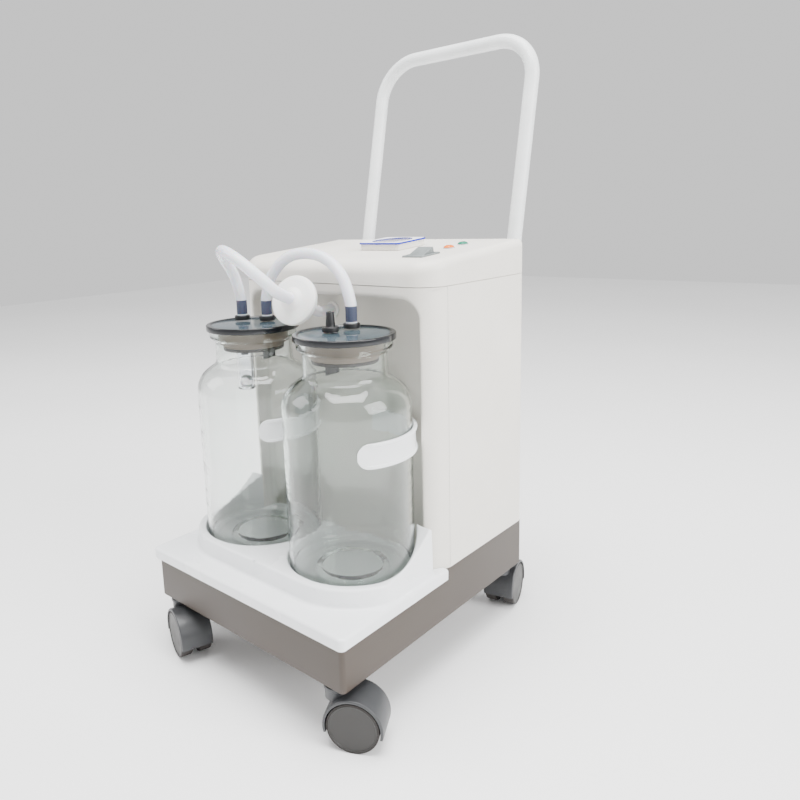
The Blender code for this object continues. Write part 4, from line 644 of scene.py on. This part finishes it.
def make_tray():
    """White moulded tray: bull-nosed lip over the base, ledge round the jars, tongue under them.

    The lip's section is carried along the tray's edge; the slab is that edge's inner line closed behind
    round the cabinet's corners, which are arcs 0.3 outside the cabinet's own.
    """
    half = BASE_HALF + 4.3
    a = np.radians(np.linspace(-25, -68, 13))
    centre = (BASE_HALF - CORNER, CABINET_FRONT + CORNER)
    ear = np.stack([centre[0] + 30.3 * np.cos(a), centre[1] + 30.3 * np.sin(a)], 1)
    ear = ear[ear[:, 0] > RECESS_HALF - 0.3]
    turn = np.radians(np.linspace(-90, 0, 9))
    nose = np.stack([half - 6 + 6 * np.cos(turn), FRONT + 1.7 + 6 * np.sin(turn)], 1)
    edge = np.vstack([nose, [[half, ear[0, 1]]]])
    line = np.vstack([edge[::-1], edge * np.array([-1, 1])])
    lip = soft([(-4.2, LIP_LOW), (0, LIP_LOW, 1.6), (0.2, TRAY_TOP, 5.6), (-5.6, TRAY_TOP),
                (-5.6, TRAY_TOP - 3), (-4.2, TRAY_TOP - 3)], 8)
    points = sweep(line[::-1], lip, closed=False)
    inner_edge = sweep(line[::-1], [(-5.3, TRAY_TOP)], closed=False)[:, 0, :2]
    flat = np.vstack([inner_edge, ear,
                      [[RECESS_HALF - 0.3, RECESS_FLOOR - 0.3], [0.3 - RECESS_HALF, RECESS_FLOOR - 0.3]],
                      (ear * np.array([-1, 1]))[::-1]])
    top = np.concatenate([flat, np.full((len(flat), 1), TRAY_TOP - 0.01)], 1)
    under = top - np.array([0, 0, 2.8])
    rim = [skin(points, close_columns=True), lid_over(points[0][::-1]), lid_over(points[-1])]
    build("tray_rim", rim, TRAY, "machine")
    slab = [skin(np.stack([top, under], 1), close_rows=True), lid_over(top), lid_over(under[::-1])]
    half_ledge = ledge_half()
    build("tray_ledge", half_ledge + flip(half_ledge), TRAY, "machine")
    build("shown_tray", slab, TRAY, "machine", "jar_tray")


# ---- cabinet --------------------------------------------------------------------------------
def front_y(x):
    """Depth of the front moulding's outer face at a place across it."""
    over = np.clip(np.abs(x) - (BASE_HALF - CORNER), 0, CORNER)
    return CABINET_FRONT + CORNER - np.sqrt(CORNER ** 2 - over ** 2)


def make_front_panel():
    """Front moulding: rounded corners, and a recess with a soft rim whose floor is flat.

    The recess rim is a line up the side, round a corner and along the head. From it the surface runs
    outward to the moulding's edge, and inward round a fillet, down the wall and over the floor.
    """
    line = soft([(RECESS_HALF, CABINET_LOW), (RECESS_HALF, RECESS_HEAD, RECESS_ROUND), (0, RECESS_HEAD)], 24)
    run = np.concatenate([[0], np.cumsum(np.hypot(*np.diff(line, axis=0).T))])
    read = np.unique(np.concatenate([np.linspace(0, run[-1], 60), run]))
    rim = np.stack([np.interp(read, run, line[:, k]) for k in (0, 1)], 1)
    ahead = np.gradient(rim, axis=0)
    ahead /= np.linalg.norm(ahead, axis=1)[:, None]
    out = np.stack([ahead[:, 1], -ahead[:, 0]], 1)
    start = np.array([RECESS_HALF - RECESS_ROUND, RECESS_HEAD - RECESS_ROUND])
    share = np.clip(np.arctan2(rim[:, 1] - start[1], rim[:, 0] - start[0]) / (math.pi / 2), 0, 1)
    side = BASE_HALF - CORNER + CORNER * math.sin(math.radians(85.5))
    edge_x = np.where(share > 0.999, rim[:, 0], side + (start[0] - side) * np.clip(2 * share - 1, 0, 1))
    climb = (CABINET_TOP - start[1]) * np.clip(2 * share, 0, 1)
    edge_z = np.where(share < 0.001, rim[:, 1], start[1] + climb)
    edge = np.stack([edge_x, edge_z], 1)
    bend, heel = 4.5, 3.0
    rows = []
    for t in (1.0, 0.75, 0.5, 0.25):
        place = rim + out * bend + (edge - rim - out * bend) * t
        rows.append((place, front_y(place[:, 0])))
    for a in np.radians(np.linspace(0, 90, 8)):
        place = rim + out * bend * (1 - math.sin(a))
        rows.append((place, front_y(place[:, 0]) + bend * (1 - math.cos(a))))
    for a in np.radians([0, 30, 60, 90]):
        depth = np.full(len(rim), RECESS_FLOOR - heel * (1 - math.sin(a)))
        rows.append((rim - out * heel * (1 - math.cos(a)), depth))
    inner = rim - out * heel
    for t in (0.5, 1.0):
        goal = np.stack([0 * inner[:, 0], CABINET_LOW + (inner[:, 1] - CABINET_LOW) * 0.92], 1)
        rows.append((inner + (goal - inner) * t, np.full(len(rim), RECESS_FLOOR)))
    half = [skin(np.stack([np.stack([place[:, 0], y, place[:, 1]], 1) for place, y in rows], 1))]
    build("shown_front_panel", half + flip(half), PANEL, "machine", "front_panel")


def make_cover():
    """Top cover: a sloping console with rounded upper edges, rounder at the front.

    From each place on the plan a quarter circle rises inward to the sloping plane; its radius is 9, plus 5
    times how far the edge faces forward, less 4 times how far it faces back.
    """
    plan = rounded_plan(-BASE_HALF, BASE_HALF, CABINET_FRONT, BACK, CORNER, 6, 22)
    ahead = np.roll(plan, -1, 0) - np.roll(plan, 1, 0)
    ahead /= np.linalg.norm(ahead, axis=1)[:, None]
    out = np.stack([ahead[:, 1], -ahead[:, 0]], 1)
    front = np.clip(-out[:, 1], 0, 1)[:, None]
    back = np.clip(out[:, 1], 0, 1)[:, None]
    radius = 9 + 5 * front - 4 * back

    def top(y):
        return COVER_BACK - SLOPE * (BACK - y)

    rows = [np.concatenate([plan - out * 3, np.full((len(plan), 1), COVER_LOW)], 1),
            np.concatenate([plan - out * 0.6, np.full((len(plan), 1), COVER_LOW)], 1),
            np.concatenate([plan, np.full((len(plan), 1), COVER_LOW + 0.6)], 1)]
    for q in np.radians(np.linspace(0, 90, 10)):
        place = plan - out * radius * (1 - math.cos(q))
        rows.append(np.concatenate([place, top(place[:, 1:]) - radius * (1 - math.sin(q))], 1))
    grid = np.stack(rows, 1)
    cover = [skin(grid, close_rows=True), lid_over(grid[:, -1]), lid_over(grid[:, 0][::-1])]
    build("shown_cover", cover, PANEL, "machine", "top_cover")


# ---- console --------------------------------------------------------------------------------
def make_gauge():
    """Square vacuum gauge with a blue-edged plate, a domed window, printed dial and pointer.

    Case, plate and face are rings between the dial's circle and a square with quarter-circle corners; a
    share between 0 and 1 says how far out from the circle each row lies.
    """
    x, y = 18.5, 98.9
    a = np.linspace(0, 2 * np.pi, 96, endpoint=False)
    ring = np.stack([np.cos(a), np.sin(a)], 1)
    outer = ring * (1 / np.maximum(np.abs(ring[:, 0]) / 29.2, np.abs(ring[:, 1]) / 26.6))[:, None]
    corner = np.array([25.2, 22.6])
    far = np.abs(outer) - corner
    both = (far > 0).all(1)
    away = np.linalg.norm(np.clip(far, 1e-6, None), axis=1)[:, None]
    outer = np.where(both[:, None], np.sign(outer) * (corner + np.clip(far, 0, None) / away * 4.0), outer)

    def layer(steps, edge=outer):
        rows = [np.concatenate([ring * 23.2 + (edge - ring * 23.2) * share, np.full((96, 1), z)], 1)
                for share, z in steps]
        return on_console([skin(np.stack(rows), close_rows=True, close_columns=True)], x, y)

    inset = outer * np.array([0.959, 0.955])
    case = layer(((0, 0.3), (1, 0.3), (1, 6.3), (0.98, 6.75), (0.92, 6.9), (0, 6.9)), inset)
    build("shown_gauge_case", case, PANEL, "machine", "gauge_case")
    plate = layer(((0, 6.95), (1, 6.95), (1.0, 8.5), (0.98, 8.7), (0, 8.7)))
    build("shown_gauge_plate", plate, BLUE, "machine", "gauge_plate")
    face = layer(((0, 8.5), (0.9, 8.5), (0.9, 8.8), (0, 8.8)))
    build("gauge_face", face, DIAL, "machine")
    window = soft([(0, 8.8), (20, 8.6), (23.1, 8.2, 0.6), (23.1, 7.3), (0, 7.7)], 4)
    build("gauge_window", on_console([lathe(window, (0, 0, 0), sides=72)], x, y), WINDOW, "machine")
    dial = [lathe([(0, 0.9), (22.8, 0.9), (22.8, 1.9), (0, 1.9)], (0, 0, 0), sides=72)]
    build("shown_gauge_dial", on_console(dial, x, y), CARD, "machine", "gauge_dial")
    marks = []
    for k in range(51):
        turn = math.radians(225 - 270 * k / 50)
        big = k % 10 == 0
        r0, r1, wide = (16.5 if big else 18.5), 21.0, (0.45 if big else 0.18)
        along = np.array([math.cos(turn), math.sin(turn), 0])
        across = np.array([-along[1], along[0], 0]) * wide
        low = np.array([along * r0 - across, along * r1 - across, along * r1 + across, along * r0 + across])
        low[:, 2] = 1.92
        marks += [lid_over(low + np.array([0, 0, 0.08])), skin(np.stack([low, low + np.array([0, 0, 0.08])]),
                                                              close_columns=True)]
    build("dial_marks", on_console(marks, x, y), INK, "machine")
    a = math.radians(135)
    turn = np.array([[math.cos(a), -math.sin(a), 0], [math.sin(a), math.cos(a), 0], [0, 0, 1]])
    hand = np.array([(-6, -1.0), (0, -1.3), (18.5, -0.25), (18.5, 0.25), (0, 1.3), (-6, 1.0)])
    low = np.concatenate([hand, np.full((6, 1), 2.5)], 1) @ turn.T
    high = low + np.array([0, 0, 0.6])
    pointer = [skin(np.stack([low, high]), close_columns=True), lid_over(high), lid_over(low[::-1]),
               lathe(soft([(0, 2.0), (2.4, 2.0), (2.4, 4.0, 0.6), (0, 4.0)], 4), (0, 0, 0), sides=32)]
    build("shown_needle", on_console(pointer, x, y), INK, "needle", "gauge_needle")


def make_switch():
    """Rocker switch: a flanged frame with a well, and a wedge-shaped rocker that stands proud.

    The rocker's side outline is repeated across it and drawn in a little at both ends.
    """
    x, y = 99.5, 42.5
    outer = rounded_plan(-12.75, 12.75, -16.25, 16.25, 1.6, 1.6, 4)
    rim = soft([(0, 0.2), (0, 1.7, 0.7), (-3.1, 1.7, 0.4), (-3.1, -10)], 4)
    frame_points = sweep(outer, rim)
    parts = [skin(frame_points, close_rows=True), lid_over(frame_points[:, -1])]
    build("shown_switch_frame", on_console(parts, x, y), SWITCH, "machine", "switch_frame")
    side = soft([(-11.0, 0.4), (-11.4, 0.9, 0.5), (8.2, 7.9, 0.7), (9.1, 7.1, 0.6), (10.9, -2.0), (4, -8),
                 (-4, -8), (-10.6, -2.4), (-11.0, 0.4)], 4)[:-1]
    across = np.array([-9.2, -8.9, -8.4, 8.4, 8.9, 9.2])
    shrink = np.array([0.94, 0.985, 1, 1, 0.985, 0.94])
    centre = np.array([0, 0.5])
    rows = [np.stack([np.full(len(side), u), centre[0] + (side[:, 0] - centre[0]) * k,
                      centre[1] + (side[:, 1] - centre[1]) * k], 1) for u, k in zip(across, shrink)]
    rocker = [skin(np.stack(rows), close_columns=True), lid_over(rows[0][::-1]), lid_over(rows[-1])]
    build("shown_rocker", on_console(rocker, x, y), SWITCH, "rocker", "switch_rocker")


def make_lamps():
    """Indicator lamps: a slim bezel round a domed lens, both outlines turned about the lamp's axis."""
    for name, x, y, material, slot in (("vacuum_lamp", 96.5, 96.8, ORANGE, "orange_lens"),
                                       ("power_lamp", 95.5, 125.5, GREEN, "green_lens")):
        lens = soft([(0, 0.3), (5.7, 0.3), (5.7, 1.8, 1.0), (3.2, 3.3, 2.5), (0, 3.4)], 6)
        dome = on_console([lathe(lens, (0, 0, 0), sides=48)], x, y)
        build("shown_" + name, dome, material, "machine", name)
        bezel = soft([(5.75, 0.1), (6.3, 0.1), (6.3, 0.7, 0.3), (5.75, 0.9, 0.2)], 3)
        ring = on_console([lathe(bezel, (0, 0, 0), sides=48, closed=True)], x, y)
        build("bezel_" + name, ring, BEZEL, "machine")


# ---- handle ---------------------------------------------------------------------------------
def make_handle():
    """Bent tube with a knee in each post and plugs in its lower ends.

    Round rings follow a path of straight posts, knees that are arcs of radius 60 and top bends that are
    quarter circles of radius 50 in the leaning plane.
    """
    x, y, knee, lean = 111.75, BACK + 8.6, 337.0, math.radians(11.65)
    run, bend = 348.0, 50.0
    half = math.tan(lean / 2) * 60
    points = [(x, y, z) for z in np.linspace(236, knee - half, 12)]
    for k in range(1, 7):
        a = lean * k / 6
        points.append((x, y + 60 * (1 - math.cos(a)), knee - half + 60 * math.sin(a)))
    for s in np.linspace(half + 5, run - bend - 4, 14):
        points.append((x, y + s * math.sin(lean), knee + s * math.cos(lean)))
    for k in range(19):
        a = math.pi / 2 * k / 18
        s = run - bend + bend * math.sin(a)
        points.append((x - bend + bend * math.cos(a), y + s * math.sin(lean), knee + s * math.cos(lean)))
    right = np.array(points)
    path = np.vstack([right, (right * np.array([-1, 1, 1]))[::-1]])
    build("shown_handle", rod(path, 8.3, 40), HANDLE, "machine", "push_handle")
    plugs = [lathe(soft([(0, 0), (8.2, 0, 1.2), (8.2, 4), (0, 4)], 5), (side * x, y, 236.05), sides=40)
             for side in (-1, 1)]
    build("handle_plugs", plugs, BLACK, "machine")


# ---- castors --------------------------------------------------------------------------------
def make_castors():
    """Hooded twin-wheel castors.

    A hood is a section carried 208 degrees round the axle, with a web down its middle; wheel faces and
    treads are outlines turned about the axle.
    """
    for name, (side_x, side_y, turn) in CASTORS.items():
        a = math.radians(turn)
        trail = np.array([math.cos(a), math.sin(a), 0])
        axle = np.array([-math.sin(a), math.cos(a), 0])
        swivel = np.array([side_x * STEM_X, side_y * STEM_Y, 0])
        hub = swivel + trail * TRAIL + np.array([0, 0, WHEEL_RADIUS])
        section = soft([(26.2, -17.7), (28.8, -17.7, 1.6), (28.8, 17.7, 1.6), (26.2, 17.7)], 5)
        angles = np.radians(np.linspace(-14, 194, 72))
        ring = np.cos(angles)[:, None] * trail + np.sin(angles)[:, None] * np.array([0, 0, 1.0])
        points = hub + section[None, :, :1] * ring[:, None] + section[None, :, 1:] * axle
        parts = [skin(points, close_columns=True), lid_over(points[0]), lid_over(points[-1][::-1])]
        web = hub + ring * 27.6
        thick = [web + axle * 4.0, web - axle * 4.0]
        foot = hub - np.array([0, 0, 10])
        loops = [np.vstack([w, foot + axle * s]) for w, s in zip(thick, (4.0, -4.0))]
        parts += [lid_over(loops[0]), lid_over(loops[1][::-1]), skin(np.stack(loops), close_columns=True)]
        boss = soft([(0, 46), (11.5, 46), (11.5, 55, 0.4), (12.6, 56, 0.5), (12.6, 59.3, 0.8), (0, 59.3)], 4)
        parts.append(lathe(boss, swivel, sides=56))
        build("shown_hood_" + name, parts, HOOD, "castor_" + name, "castor_hood_" + name)
        for sign, side in ((-1, "inner"), (1, "outer")):
            face = soft([(0, 4.6), (20, 4.6), (23.6, 4.7, 0.6), (23.6, 17.4, 0.6), (22.2, 17.4, 0.4),
                         (21.8, 16.8, 0.4), (12.0, 17.1, 6), (0, 17.2)], 5)
            tread = soft([(23.0, 4.6), (25, 4.6, 0.9), (25, 17.2, 1.6), (23.8, 17.4)], 5)
            body = "wheel_%s_%s" % (name, side)
            node_name = "castor_wheel_%s_%s" % (name, side)
            build("shown_" + node_name, [lathe(face, hub, axle * sign, 72)], WHEEL, body, node_name)
            ring = [lathe(tread, hub, axle * sign, 72, closed=True)]
            build("tread_%s_%s" % (name, side), ring, TYRE, body)


def dress_cad():
    """Better finishes on the CAD pieces that stay as they are."""
    finishes = {
        "rear_housing": PANEL, "handle_clamp_left": BASE, "handle_clamp_right": BASE, "mains_inlet": BLACK,
        "motor_stator": CASTING, "pump_head_left": CASTING, "pump_head_right": CASTING, "motor_rotor": STEEL,
        "pump_piston_left": STEEL, "pump_piston_right": STEEL, "filter_membrane": FILTER,
    }
    finishes.update({"castor_stem_" + name: STEEL for name in CASTORS})
    for name, material in finishes.items():
        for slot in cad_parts[name].material_slots:
            slot.material = material


# ---- studio ---------------------------------------------------------------------------------
def make_studio():
    """A pale floor, and soft light from a strong panel above, one on the right, a weak one on the left."""
    side = np.linspace(-4000, 4000, 9)
    x, y = np.meshgrid(side, side)
    points = np.stack([x, y, 0 * x], 2)
    verts, faces = skin(points)
    mesh = bpy.data.meshes.new("floor")
    mesh.from_pydata((verts / 1000).tolist(), [], faces)
    mesh.materials.append(FLOOR)
    floor = bpy.data.objects.new("floor", mesh)
    bpy.context.scene.collection.objects.link(floor)
    world = bpy.data.worlds.new("studio")
    world.use_nodes = True
    background = world.node_tree.nodes["Background"]
    background.inputs["Color"].default_value = (1, 1, 1, 1)
    background.inputs["Strength"].default_value = 0.95
    bpy.context.scene.world = world
    for name, place, size, power in (("left", (-1.9, -1.2, 1.5), 1.2, 20),
                                     ("above", (0.2, -0.2, 2.2), 1.5, 105),
                                     ("right", (2.0, 0.2, 1.3), 1.3, 62)):
        panel = bpy.data.lights.new(name, "AREA")
        panel.shape = "SQUARE"
        panel.size = size
        panel.energy = power
        lamp = bpy.data.objects.new(name, panel)
        bpy.context.scene.collection.objects.link(lamp)
        lamp.location = place
        lamp.rotation_euler = (Vector((0, 0, 0.3)) - Vector(place)).to_track_quat("-Z", "Y").to_euler()


place_camera()
make_hoses()
make_jars()
make_ports()
make_filter()
make_arms()
make_base()
make_tray()
make_front_panel()
make_cover()
make_gauge()
make_switch()
make_lamps()
make_handle()
make_castors()
dress_cad()
make_studio()
